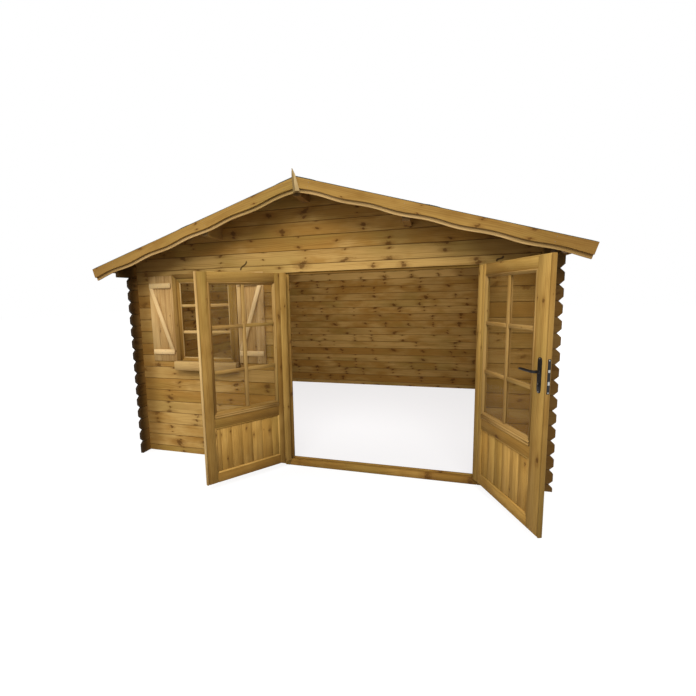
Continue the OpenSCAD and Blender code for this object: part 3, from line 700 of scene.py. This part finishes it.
class ShedSizes(bpy.types.PropertyGroup):
    """Sizes of the pieces that are added to the CAD model."""

    course: metres("Log course", "Height that each log adds to a wall", 0.118)
    roof_slope: bpy.props.FloatProperty(
        name="Roof slope", description="Slope of the roof", default=math.radians(16.8),
        subtype="ANGLE", unit="ROTATION")
    roof_board: metres("Roof board", "Width of one roof board", 0.0925)
    roof_board_depth: metres("Roof board thickness", "Thickness of the roof boards", 0.0175)
    felt_width: metres("Felt course", "Distance of the felt's lap from the ridge", 1.05)
    felt_lap: metres("Felt lap", "How far one felt course lies over the next", 0.075)
    felt_depth: metres("Felt thickness", "Thickness of the roofing felt", 0.003)
    nail_gap: metres("Nail spacing", "Distance between the felt nails", 0.15)
    panel_board: metres("Panel board", "Width of one board in a door panel", 0.094)
    bar: metres("Glazing bar", "Width of the glazing bars", 0.028)
    door_bar_low: metres("Lower door bar", "Height of the doors' lower glazing bar", 0.966)
    door_bar_high: metres("Upper door bar", "Height of the doors' upper glazing bar", 1.326)
    shutter_boards: bpy.props.IntProperty(
        name="Shutter boards", description="Number of boards in a shutter", default=3, min=1)


class ShedColours(bpy.types.PropertyGroup):
    """Colours of the finishes."""

    pale: tint("Pale wood", "Palest tone of the walls", 196, 158, 92)
    deep: tint("Deep wood", "Deeper tone of the walls", 166, 123, 58)
    trim: tint("Trim", "Palest tone of the shutters' ledges and braces", 232, 200, 146)
    felt: tint("Felt", "Colour of the roofing felt", 50, 55, 52)
    ironwork: tint("Ironwork", "Colour of the handles and hinges", 17, 15, 14)


# ---------------------------------------------------------------- places

def slope_place(side, slope):
    """Place on a roof slope: x down it from the ridge, y into the building and z up off the
    boards' top."""
    mirror = flip(0) if side == "left" else HERE
    return mirror @ shift(0, 0, box("right_roof_boards")[1][2]) @ turn(1, math.degrees(slope))


def leaf_place(side):
    """Place on a door leaf: x from its hinge edge, y from its outer face inwards, z from its
    foot."""
    joint = JOINTS[side + "_leaf_hinge"]
    opened = -joint["range_deg"][0]
    x, y, _ = joint["pos_m"]
    foot = box(side + "_leaf_frame")[0][2]
    turned = turn(2, -opened) if side == "left" else turn(2, opened) @ flip(0)
    return shift(x, y, foot) @ turned @ shift(0.0035, 0.0065, 0)


def nail(batch, place, radius, tip, heights):
    """A round head along the z of place: its foot, its rim and its top, where it narrows to tip."""
    foot, rim, top = heights
    batch.turned([(radius, foot), (radius, rim), (tip, top)], 8, place)


def screw_head(batch, place, radius=0.004):
    """A countersunk head that stands a little off the face at place, along its z."""
    batch.turned([(radius, -0.0005), (radius, 0.0003), (radius * 0.6, 0.0008),
                  (radius * 0.2, 0.0004)], 10, place)


# ---------------------------------------------------------------- pieces

class ShedPiece(bpy.types.Operator):
    """Common setting of the operators that build the shed."""

    bl_options = {"REGISTER", "UNDO"}


class SHED_OT_walls(ShedPiece):
    """Finishes the log walls, the gables, the purlins and the eave logs"""

    bl_idname = "shed.walls"
    bl_label = "Log Walls"

    def execute(self, context):
        course = context.scene.shed_sizes.course
        dress(course_wood("front_log_wood", 0, course, course / 2),
              "front_wall_left", "front_wall_right", "front_gable", "back_wall", "back_gable")
        dress(course_wood("side_log_wood", 1, course, 0.0),
              "left_wall", "right_wall", "left_eave_log", "right_eave_log")
        dress(beam_wood("purlin_wood"), "ridge_purlin", "left_purlin", "right_purlin")
        return {"FINISHED"}


class SHED_OT_trim(ShedPiece):
    """Finishes the bargeboards, the strips under them, the fascias and the finials"""

    bl_idname = "shed.trim"
    bl_label = "Bargeboards and Trim"

    def execute(self, context):
        slope = context.scene.shed_sizes.roof_slope
        ridge = box("right_roof_boards")[1][2]
        dress(slope_wood("bargeboard_wood", slope), "front_bargeboards", "back_bargeboards")
        dress(slope_wood("lip_strip_wood", slope, ridge), "front_lip_strips", "back_lip_strips")
        dress(beam_wood("fascia_wood"), "eave_fascias")
        dress(upright_wood("finial_wood"), "front_finial", "back_finial")
        nails = Batch(11)
        for node, outward in (("front_bargeboards", -1), ("back_bargeboards", 1)):
            low, high = box(node)
            face = low[1] if outward < 0 else high[1]
            for side in SIDES:
                for down in (0.12, 0.875, 1.9):
                    for drop in (0.02, 0.055):
                        spot = slope_place(side, slope) @ shift(down, face, -drop)
                        nail(nails, spot @ turn(0, -90 * outward), 0.0022, 0.0012,
                             (-0.0005, 0.0002, 0.0006))
        nails.make("bargeboard_nails", "galvanised_steel", "bargeboards")
        return {"FINISHED"}


class SHED_OT_roof(ShedPiece):
    """Builds the roof boards, the lapped felt and its nails"""

    bl_idname = "shed.roof"
    bl_label = "Roof"

    def execute(self, context):
        size = context.scene.shed_sizes
        for seed, side in enumerate(SIDES, 21):
            place = slope_place(side, size.roof_slope)
            low, high = box(side + "_roof_boards")
            reach = max(abs(low[0]), abs(high[0])) / math.cos(size.roof_slope) - 0.001
            count = round((high[1] - low[1]) / size.roof_board)
            width = (high[1] - low[1]) / count
            boards = Batch(seed)
            for k in range(count):
                y = low[1] + k * width
                uneven = boards.random.uniform(0, 0.002)
                boards.plank((0.003, y + 0.0002, -size.roof_board_depth),
                             (reach - uneven, y + width - 0.0002, 0), 0, 0.003, place)
            boards.make(side + "_boards", "roof_board_wood", "roof_boards", [side + "_roof_boards"])
        self.felt(size)
        return {"FINISHED"}

    def felt(self, size):
        """Each course is a thin closed sheet. Its height off the boards is a smooth step that
        lifts it over the course below, plus a slight ripple of two sines."""
        low, high = box("roof_felt")
        reach = high[0] / math.cos(size.roof_slope) - 0.001
        rows = np.linspace(low[1], high[1], 60)
        depth, lap = size.felt_depth, size.felt_width + size.felt_lap
        step, cap_width = 0.06, 0.17
        felt, nails = Batch(31), Batch(32)

        def fix(place, down, y, sheets):
            spot = place @ shift(down, y, sheets * depth + 0.0006)
            nail(nails, spot, 0.0048, 0.002, (-0.001, 0.0006, 0.0014))

        for side in SIDES:
            place = slope_place(side, size.roof_slope)
            self.sheet(felt, np.linspace(size.felt_width, reach, 24), rows, depth, 0.0, place)
            upper = np.linspace(0.004, lap, 30)
            lift = np.clip((upper - size.felt_width + step) / step, 0, 1)
            self.sheet(felt, upper, rows, depth, lift ** 2 * (3 - 2 * lift) * depth, place)
            self.sheet(felt, np.linspace(0.0, cap_width, 6), rows, depth, depth, place)
            for down, sheets in ((reach - 0.02, 1), (lap - 0.02, 2), (cap_width - 0.018, 2)):
                for y in np.arange(low[1] + 0.06, high[1] - 0.03, size.nail_gap):
                    fix(place, down, y, sheets)
            for y in (low[1] + 0.012, high[1] - 0.012):
                for down in np.arange(0.25, reach - 0.05, size.nail_gap):
                    fix(place, down, y, 1)
        felt.make("felt_courses", "mineral_felt", "roofing_felt", ["roof_felt"], smooth=True)
        nails.make("felt_nails", "galvanised_steel", "roofing_felt")

    @staticmethod
    def sheet(batch, across, rows, depth, lift, place):
        """A closed sheet on a grid of across by rows, its upper side over its lower one. It
        thins to 0.4 of its depth over the last 30 mm before its lower edge."""
        down, y = np.meshgrid(across, rows)
        base = 0.0009 + lift + 0.0004 * np.sin(down * 9 + y * 3) + 0.0004 * np.sin(y * 7 - down * 4)
        thick = depth * (0.4 + 0.6 * np.clip((across[-1] - down) / 0.03, 0, 1))
        upper = np.stack([down, y, base + thick], -1)
        under = np.stack([down, y, base], -1)[:, ::-1]
        points = np.concatenate([upper, under], 1)
        last = points.shape[1] - 1
        j = np.arange(len(across) - 1)
        cap = np.stack([j, j + 1, last - 1 - j, last - j], -1)
        batch.add(points.reshape(-1, 3), len(rows), place=place, cap=cap)


class SHED_OT_door_frame(ShedPiece):
    """Builds the posts, the head, the stops and the threshold of the doorway"""

    bl_idname = "shed.door_frame"
    bl_label = "Door Frame"

    def execute(self, context):
        posts, stops = box("door_posts"), box("door_stops")
        width = stops[0][0] - posts[0][0]
        timber = Batch(41)
        for x in (posts[0][0], posts[1][0] - width):
            timber.plank((x, posts[0][1], 0), (x + width, posts[1][1], posts[1][2]), 2, 0.002)
        timber.plank(*box("door_head"), 0)
        timber.plank(*box("door_threshold"), 0, 0.003)
        stop, lap, rise = 0.029, 0.021, 0.012
        (x0, y0, z0), (x1, y1, z1) = stops
        for low, high, along in (((x0, y0, z0), (x0 + stop, y1, z1), 2),
                                 ((x1 - stop, y0, z0), (x1, y1, z1), 2),
                                 ((x0 + stop, y0, z1 - lap), (x1 - stop, y1, z1), 0),
                                 ((x0 + stop, y0, z0), (x1 - stop, y1, z0 + rise), 0)):
            timber.plank(low, high, along, 0.003)
        timber.make("door_frame_timber", "joinery_wood", "door_frame",
                    ["door_posts", "door_head", "door_stops", "door_threshold"])
        return {"FINISHED"}


class SHED_OT_leaves(ShedPiece):
    """Builds the stiles, rails, boarded panels, beads and glazing bars of both door leaves"""

    bl_idname = "shed.leaves"
    bl_label = "Door Leaves"

    def execute(self, context):
        for side in SIDES:
            self.leaf(context.scene.shed_sizes, side)
        dress(finish("leaf_glazing"), "left_leaf_glass", "right_leaf_glass")
        return {"FINISHED"}

    @staticmethod
    def leaf(size, side):
        """The leaf lies between heights 0, z0 (panel), z1 (middle rail), z2 (glass), z3 (top rail)
        and its top, with the openings between u0 and u1."""
        seed, body = SIDES.index(side), side + "_leaf"
        place, (low, high) = leaf_place(side), box(side + "_leaf_frame")
        height, width, depth = high[2] - low[2], LEAF["width"], LEAF["depth"]
        u0, u1 = LEAF[side][0], width - LEAF[side][1]
        z0 = LEAF["bottom"]
        z1 = z0 + LEAF["panel"]
        z2, z3 = z1 + LEAF["middle"], height - LEAF["top"]
        lap, strip, groove = u0 * LEAF["hanging"], width - LEAF["strip"], LEAF["groove"]

        timber, meeting, hanging = Batch(51 + seed), Batch(59 + seed), Batch(57 + seed)
        timber.plank((lap - 0.0003, 0.0004, 0), (u0, depth - 0.0004, height), 2, 0.003, place)
        timber.plank((u1, 0.0003, 0), (strip - groove, depth - 0.0003, height), 2, 0.003, place)
        timber.plank((strip - groove - 0.001, 0.008, 0.001),
                     (strip + 0.001, depth - 0.008, height - 0.001), 2, 0.0, place)
        meeting.plank((strip, 0, 0), (width, depth, height), 2, 0.002, place)
        # The left leaf's meeting strip takes the brighter wood as a painted highlight on its edge.
        meeting.make(side + "_meeting_strip",
                     "bright_joinery_wood" if side == "left" else "meeting_strip_wood",
                     "door_leaves", body=body)
        for za, zb in ((0, z0), (z1, z2), (z3, height)):
            timber.plank((u0, 0.0004, za), (u1, depth - 0.0004, zb), 0, 0.003, place)
        # The right leaf's stiles and rails take the lighter copy, as painted light.
        timber.make(side + "_stiles_and_rails",
                    "joinery_wood" if side == "left" else "sunned_joinery_wood",
                    "door_leaves", [side + "_leaf_frame"], body)
        hanging.plank((0, 0, 0), (lap, depth, height), 2, 0.002, place)
        hanging.make(side + "_hanging_stile", "hanging_stile_wood", "door_leaves", body=body)

        panel = Batch(53 + seed)
        joints = np.arange(LEAF["joint"] - 7 * size.panel_board, u1 + 0.004, size.panel_board)
        inner = joints[(joints > u0 + 0.01) & (joints < u1 - 0.01)]
        tongue = 0.006
        edges = np.concatenate([[u0 - tongue], inner, [u1 + tongue]])
        for p, q in zip(edges[:-1], edges[1:]):
            panel.plank((p, 0.008, z0 - tongue), (q, 0.020, z1 + tongue), 2, 0.003, place)
        bead = [(0, 0.0005), (0.004, 0.0005), (0.010, 0.004), (0.013, 0.008), (0, 0.008)]
        for ring in both_faces(bead):
            panel.strips((u0, z0), (u1, z1), ring, place)
        panel.make(side + "_panel_boards", "panel_board_wood", "door_leaves",
                   [side + "_leaf_panel"], body)

        beads = Batch(55 + seed)
        bead = [(0, -0.003), (0.009, -0.003), (0.014, 0.0005), (0.016, 0.001), (0.022, 0.007),
                (0.022, 0.0118), (0, 0.0118)]
        for ring in both_faces(bead):
            beads.strips((u0, z2), (u1, z3), ring, place)
        middle, half, inset = (u0 + u1) / 2, size.bar / 2, 0.021
        for va, vb in ((0.002, 0.0118), (depth - 0.0118, depth - 0.002)):
            glazing_bars(beads, (u0 + inset, middle - half, middle + half, u1 - inset), (va, vb),
                         (z2 + inset, z3 - inset),
                         [z - low[2] for z in (size.door_bar_low, size.door_bar_high)], half, place)
        drip = [(0, 0.0002), (0, -0.003), (0.005, -0.006), (0.012, -0.006), (0.014, -0.0025),
                (0.019, -0.0025), (0.021, -0.007), (0.028, -0.007), (0.032, -0.003), (0.032, 0.0002)]
        for ring in both_faces(drip):
            beads.rail(z2 - 0.032, u0, u1, ring, place)
        beads.make(side + "_beads_and_bars", "bead_wood", "door_leaves", [side + "_leaf_beads"],
                   body)


def both_faces(profile):
    """A profile on a leaf's outer face, and its mirror image on the inner one."""
    return profile, [(p, LEAF["depth"] - q) for p, q in profile]


def glazing_bars(batch, across, depths, heights, crossings, half, place=HERE):
    """One upright bar between the two inner places across, and on both sides of it a level bar
    at each crossing's height."""
    (x0, left, right, x1), (y0, y1), (z0, z1) = across, depths, heights
    batch.plank((left, y0, z0), (right, y1, z1), 2, 0.004, place)
    for z in crossings:
        for a, b in ((x0, left), (right, x1)):
            batch.plank((a, y0, z - half), (b, y1, z + half), 0, 0.004, place)


class SHED_OT_fittings(ShedPiece):
    """Builds the handles and the lock's bolts, and the screws of the hinges"""

    bl_idname = "shed.fittings"
    bl_label = "Handles and Hinges"

    def execute(self, context):
        dress(finish("black_ironwork"), "post_hinge_flaps", "left_leaf_hinge_flaps",
              "right_leaf_hinge_flaps")
        self.lock()
        for side in SIDES:
            self.hinge_screws(side)
        return {"FINISHED"}

    def lock(self):
        """The lever handles on both faces, and the lock's plate, bolts and screws on the edge."""
        place, width, depth = leaf_place("right"), LEAF["width"], LEAF["depth"]
        foot = box("right_leaf_frame")[0][2]
        low, high = box("lock_faceplate")
        spindle = low[2] + (high[2] - low[2]) * 0.6 - foot
        handles, bright = Batch(61), Batch(62)
        outer = place @ shift(width - LEAF["handle"], 0, spindle)
        inner = place @ shift(width - LEAF["handle"], depth, spindle) @ flip(1)
        for face in (outer, inner):
            self.handle(handles, bright, face)
        handles.make("lever_handles", "black_ironwork", "handles", ["door_handles"],
                     "right_leaf", smooth=True)
        edge = place @ shift(width, depth / 2, spindle) @ turn(1, 90)
        case = Batch(65)
        axis = foot + spindle
        case.plank((axis - high[2], -0.010, -0.002), (axis - low[2], 0.010, 0.0006), 0, 0.0004, edge)
        case.make("lock_case_plate", "black_ironwork", "lock_plate", ["lock_faceplate"],
                  "right_leaf")
        for z, half in ((0.012, 0.008), (-0.060, 0.011)):
            bright.plank((-z - half, -0.006, 0.0), (-z + half, 0.006, 0.0025), 0, 0.001, edge)
        for z in (0.074, -0.115):
            screw_head(bright, edge @ shift(-z, 0, 0.0002))
        bright.make("lock_bolts_and_screws", "bright_steel", "lock_plate", body="right_leaf",
                    smooth=True)

    @staticmethod
    def handle(handles, bright, face):
        """Backplate: a rounded-end outline carried outwards. Lever: an oval ring carried along a
        smooth path out from the spindle and round to the hinge side."""
        t = np.linspace(0, 2 * math.pi, 40, endpoint=False)
        outline = np.stack([0.017 * np.sign(np.cos(t)) * np.abs(np.cos(t)) ** 0.6,
                            0.107 * np.sign(np.sin(t)) * np.abs(np.sin(t)) ** 0.22], -1)
        middle, proud, up, outwards = -0.0215, -0.0048, (0, 0, 1), turn(0, 90)
        handles.swept([(0, 0, middle), (0, -0.003, middle), (0, proud, middle)], outline, up,
                      [1, 1, 0.965], face)
        handles.turned([(0.0125, 0), (0.0125, 0.008), (0.0105, 0.010), (0.009, 0.011),
                        (0.009, 0.03)], 24, face @ outwards)
        path = smooth_path([(0, -0.024, 0), (-0.002, -0.036, 0), (-0.014, -0.0435, 0),
                            (-0.045, -0.045, 0), (-0.100, -0.045, 0), (-0.139, -0.043, -0.001)], 36)
        ring = np.stack([0.0058 * np.cos(t[::2]), 0.0085 * np.sin(t[::2])], -1)
        taper = np.concatenate([np.linspace(1.05, 0.95, 30), [0.93, 0.9, 0.85, 0.75, 0.6, 0.35]])
        handles.swept(path, ring, up, taper, face)
        lock = face @ shift(0, 0, -0.072)
        handles.turned([(0.0085, 0), (0.0085, 0.008), (0.0075, 0.009)], 24, lock @ outwards)
        handles.plank((-0.005, -0.009, -0.020), (0.005, 0, 0.0), 2, 0.003, lock)
        bright.plank((-0.0012, -0.0094, -0.005), (0.0012, -0.006, 0.005), 2, 0.0003, lock)
        for z in (0.078, -0.121):
            screw_head(bright, face @ shift(0, proud, z) @ outwards)

    @staticmethod
    def hinge_screws(side):
        """Three screws in each flap of the three hinges."""
        low, high = box(side + "_leaf_hinge_flaps")
        hinge, radius = JOINTS[side + "_leaf_hinge"]["pos_m"], 0.0035
        leaf = leaf_place(side) @ shift(0, 0, -box(side + "_leaf_frame")[0][2])
        mirror = HERE if side == "left" else flip(0)
        post = shift(hinge[0], box("door_posts")[0][1] - 0.002, 0) @ mirror
        leaf_screws, post_screws = Batch(63), Batch(64)
        for z in (low[2] + 0.045, (low[2] + high[2]) / 2, high[2] - 0.045):
            for dz in (-0.032, 0.0, 0.032):
                u = 0.022 if dz else 0.030
                screw_head(leaf_screws, leaf @ shift(u, -0.002, z + dz) @ turn(0, 90), radius)
                screw_head(post_screws, post @ shift(-u - 0.004, 0, z + dz) @ turn(0, 90), radius)
        leaf_screws.make(side + "_leaf_hinge_screws", "black_ironwork", "hinges",
                         body=side + "_leaf")
        post_screws.make(side + "_post_hinge_screws", "black_ironwork", "hinges")


class SHED_OT_window(ShedPiece):
    """Builds the window's frame, sash, glazing bars and sill board"""

    bl_idname = "shed.window"
    bl_label = "Window"

    def execute(self, context):
        low, high = box("window_frame")
        y0, y1, wall, lap, face = low[1], high[1], 0.0143, 0.0248, 0.040
        outer = [(0.002, y0), (face - 0.003, y0), (face, y0 + 0.003), (face, y1), (0, y1), (0, wall),
                 (lap, wall), (lap, -wall), (0, -wall), (0, y0 + 0.002)]
        casing, sash, bars, sill = Batch(71), Batch(72), Batch(74), Batch(73)
        casing.strips(low[[0, 2]], high[[0, 2]], outer)
        casing.make("window_frame_strips", "frame_joinery_wood", "window_joinery",
                    ["window_frame"])

        low, high = box("window_sash")
        glass = box("window_glass")
        y0, y1, g0, g1 = low[1], high[1], glass[0][1] - 0.0002, glass[1][1] + 0.0002
        member, groove = 0.046, 0.0378
        rim = [(0.0015, y0 + 0.006), (0.006, y0 + 0.005), (0.008, y0), (0.036, y0), (member, y0 + 0.007),
               (member, g0), (groove, g0), (groove, g1), (member, g1), (member, y1 - 0.005),
               (0.038, y1), (0.0015, y1)]
        sash.strips(low[[0, 2]], high[[0, 2]], rim)
        half = context.scene.shed_sizes.bar / 2
        middle = (low[0] + high[0]) / 2
        x0, x1 = low[0] + member - 0.001, high[0] - member + 0.001
        z0, z1 = low[2] + member - 0.001, high[2] - member + 0.001
        for depths in ((g0 - 0.011, g0), (g1, g1 + 0.009)):
            glazing_bars(bars, (x0, middle - half, middle + half, x1), depths, (z0, z1),
                         WINDOW_BARS, half)
        lip = 0.006
        bead = [(0, y0 - 0.002), (lip, y0 - 0.002), (lip + 0.004, y0 + 0.006), (0, y0 + 0.006)]
        bars.strips((x0 - lip, z0 - lip), (x1 + lip, z1 + lip), bead)
        sash.make("window_sash_members", "joinery_wood", "window_joinery", ["window_sash"])
        bars.make("window_glazing_bars", "bright_joinery_wood", "window_joinery")
        dress(finish("clear_glazing"), "window_glass")
        sill.plank(*box("window_sill_board"), 0, 0.002)
        sill.make("window_sill", "sill_board_wood", "shutters", ["window_sill_board"])
        return {"FINISHED"}


class SHED_OT_shutters(ShedPiece):
    """Builds the boards, ledges, braces and nails of the shutters"""

    bl_idname = "shed.shutters"
    bl_label = "Shutters"

    def execute(self, context):
        for side in SIDES:
            self.shutter(context.scene.shed_sizes.shutter_boards, side)
        return {"FINISHED"}

    @staticmethod
    def shutter(count, side):
        """Upright boards, a ledge near each end, and a brace from the upper ledge's hinge side to
        the lower ledge's other side, with its ends slanted by the tangent of its angle."""
        low, high = box(side + "_shutter")
        place = (shift(low[0], high[1], low[2]) if side == "left"
                 else shift(high[0], high[1], low[2]) @ flip(0))
        wide, tall = high[0] - low[0], high[2] - low[2]
        thick, inset, ledge, margin, brace, gap = 0.015, 0.070, 0.048, 0.014, 0.040, 0.001
        seed, each = SIDES.index(side), wide / count
        timber, nails, bracing = Batch(81 + seed), Batch(83), Batch(84 + seed)
        for k in range(count):
            left, right = k * each + gap, (k + 1) * each - gap
            timber.plank((left, -thick, 0), (right, -0.0003, tall), 2, 0.005, place)
        for z in (inset, tall - inset - ledge):
            bracing.plank((margin, -2 * thick, z), (wide - margin, -thick, z + ledge), 0, 0.002,
                          place)
            for k in range(count):
                for dx, dz in ((-0.02, 0.012), (0.02, 0.036)):
                    spot = place @ shift((k + 0.5) * each + dx, -2 * thick, z + dz) @ turn(0, 90)
                    nail(nails, spot, 0.0028, 0.0015, (-0.0005, 0.0002, 0.0006))
        a = np.array([margin + brace / 2, tall - inset - ledge])
        b = np.array([wide - margin - brace / 2, inset + ledge])
        angle = math.atan2(b[0] - a[0], a[1] - b[1])
        mid, run, across = (a + b) / 2, np.linalg.norm(a - b) / 2, brace * math.cos(angle) / 2
        spot = place @ shift(mid[0], 0, mid[1]) @ turn(1, -math.degrees(angle))
        bracing.plank((-across, -2 * thick, -run), (across, -thick, run), 2, 0.002, spot,
                      -math.tan(angle))
        timber.make(side + "_shutter_boards", "pale_board_wood", "shutters", [side + "_shutter"])
        bracing.make(side + "_shutter_ledges", "pale_trim_wood", "shutters")
        nails.make(side + "_shutter_nails", "galvanised_steel", "shutters")


class SHED_OT_stage(ShedPiece):
    """Sets the floor, the lamps, the world and the camera"""

    bl_idname = "shed.stage"
    bl_label = "Stage"

    def execute(self, context):
        scene = context.scene
        scene.view_settings.view_transform = "Standard"
        self.floor(scene)
        self.world(scene)
        # Name, place, target, width and power of each lamp
        for lamp in (("key", (1.5, -8.0, 8.5), (0.2, 0.5, 1.0), 6.0, 880),
                     ("left_fill", (-9.0, -5.0, 5.0), (0.0, 1.5, 1.0), 5.0, 330),
                     ("right_fill", (10.0, 2.0, 5.0), (0.0, 1.5, 1.0), 5.0, 230),
                     ("back_fill", (-2.0, 13.0, 7.0), (0.0, 1.7, 1.0), 6.0, 480),
                     ("room", (0.2, 0.6, 1.9), (-0.1, 3.4, 1.0), 0.5, 33)):
            self.lamp(scene, *lamp)
        camera = bpy.data.objects.new("camera", bpy.data.cameras.new("camera"))
        scene.collection.objects.link(camera)
        camera.matrix_world = Matrix(shift(*CAMERA["place"]) @ turn(2, CAMERA["pan"])
                                     @ turn(0, 90 + CAMERA["tilt"]) @ turn(2, CAMERA["roll"]))
        camera.data.sensor_width = 36
        camera.data.lens = CAMERA["lens"]
        camera.data.shift_x, camera.data.shift_y = CAMERA["shift"]
        scene.camera = camera
        return {"FINISHED"}

    @staticmethod
    def lamp(scene, name, spot, target, wide, power):
        """A soft square lamp at spot that faces the target."""
        data = bpy.data.lights.new(name, "AREA")
        data.size, data.energy = wide, power
        made = bpy.data.objects.new(name, data)
        scene.collection.objects.link(made)
        aim = np.array(target) - np.array(spot)
        pan = math.degrees(math.atan2(aim[1], aim[0])) - 90
        tilt = math.degrees(math.atan2(aim[2], math.hypot(aim[0], aim[1])))
        made.matrix_world = Matrix(shift(*spot) @ turn(2, pan) @ turn(0, 90 + tilt))
        made.visible_camera = made.visible_glossy = False

    @staticmethod
    def floor(scene):
        """A wide pale floor. What looks at it directly sees it near white with a soft shadow, darker
        inside the building's footprint as painted shadow, and it throws back only a modest light."""
        mesh = bpy.data.meshes.new("floor")
        half, under = 40.0, -0.0005
        points = [(x, y, under) for y in (-half, half) for x in (-half, half)]
        mesh.from_pydata(points, [], [(0, 1, 3, 2)])
        paint = Paint("pale_floor")
        x, y, _ = paint.place()
        far = paint.ramp(paint.math("SQRT", x ** 2.0 + (y - BACK_HALF) ** 2.0), 4.0, 8.0)
        half_room = (1.79, 1.7)
        # painted shadow on the floor inside the building
        indoor_shadow = (abs(x) < half_room[0]) * (abs(y - HALF_DEPTH) < half_room[1])
        near = paint.mix(indoor_shadow, (0.86, 0.86, 0.86), (0.78, 0.77, 0.775))
        paint.finish(Base_Color=srgb(120, 120, 120), Roughness=0.9, Specular_IOR_Level=0.0,
                     Emission_Color=paint.mix(far, near, (1.0, 1.0, 1.0)), Emission_Strength=1.0)
        thrown = paint.node("BsdfDiffuse", None, {"Color": srgb(150, 146, 140)})
        shown = Value(paint, paint.shader.outputs[0])
        blend = paint.node("MixShader", None, {0: paint.seen(), 1: thrown, 2: shown})
        paint.output("OUTPUT_MATERIAL", blend)
        mesh.materials.append(paint.material)
        floor = bpy.data.objects.new("floor", mesh)
        scene.collection.objects.link(floor)

    @staticmethod
    def world(scene):
        """Soft grey light from all round, seen as white."""
        scene.world = bpy.data.worlds.new("studio")
        paint = Paint("studio", scene.world)
        soft, white = (paint.node("Background", None, {"Color": light, "Strength": strength})
                       for light, strength in (((1.0, 0.985, 0.96), 0.62), ((1.0, 1.0, 1.0), 1.0)))
        blend = paint.node("MixShader", None, {0: paint.seen(), 1: soft, 2: white})
        paint.output("OUTPUT_WORLD", blend)


PIECES = (SHED_OT_walls, SHED_OT_trim, SHED_OT_roof, SHED_OT_door_frame, SHED_OT_leaves,
          SHED_OT_fittings, SHED_OT_window, SHED_OT_shutters, SHED_OT_stage)


class SHED_PT_panel(bpy.types.Panel):
    """Sizes, colours and building steps of the shed"""

    bl_label = "Garden Shed"
    bl_idname = "SHED_PT_panel"
    bl_space_type = "VIEW_3D"
    bl_region_type = "UI"
    bl_category = "Shed"

    def draw(self, context):
        for group in (context.scene.shed_sizes, context.scene.shed_colours):
            column = self.layout.column()
            for key in group.__annotations__:
                column.prop(group, key)
        for piece in PIECES:
            self.layout.operator(piece.bl_idname)


CLASSES = (ShedSizes, ShedColours, *PIECES, SHED_PT_panel)


def register():
    for item in CLASSES:
        bpy.utils.register_class(item)
    bpy.types.Scene.shed_sizes = bpy.props.PointerProperty(type=ShedSizes)
    bpy.types.Scene.shed_colours = bpy.props.PointerProperty(type=ShedColours)


def unregister():
    del bpy.types.Scene.shed_colours
    del bpy.types.Scene.shed_sizes
    for item in reversed(CLASSES):
        bpy.utils.unregister_class(item)


def main():
    register()
    bpy.ops.shed.walls()
    bpy.ops.shed.trim()
    bpy.ops.shed.roof()
    bpy.ops.shed.door_frame()
    bpy.ops.shed.leaves()
    bpy.ops.shed.fittings()
    bpy.ops.shed.window()
    bpy.ops.shed.shutters()
    bpy.ops.shed.stage()


if __name__ == "__main__":
    main()
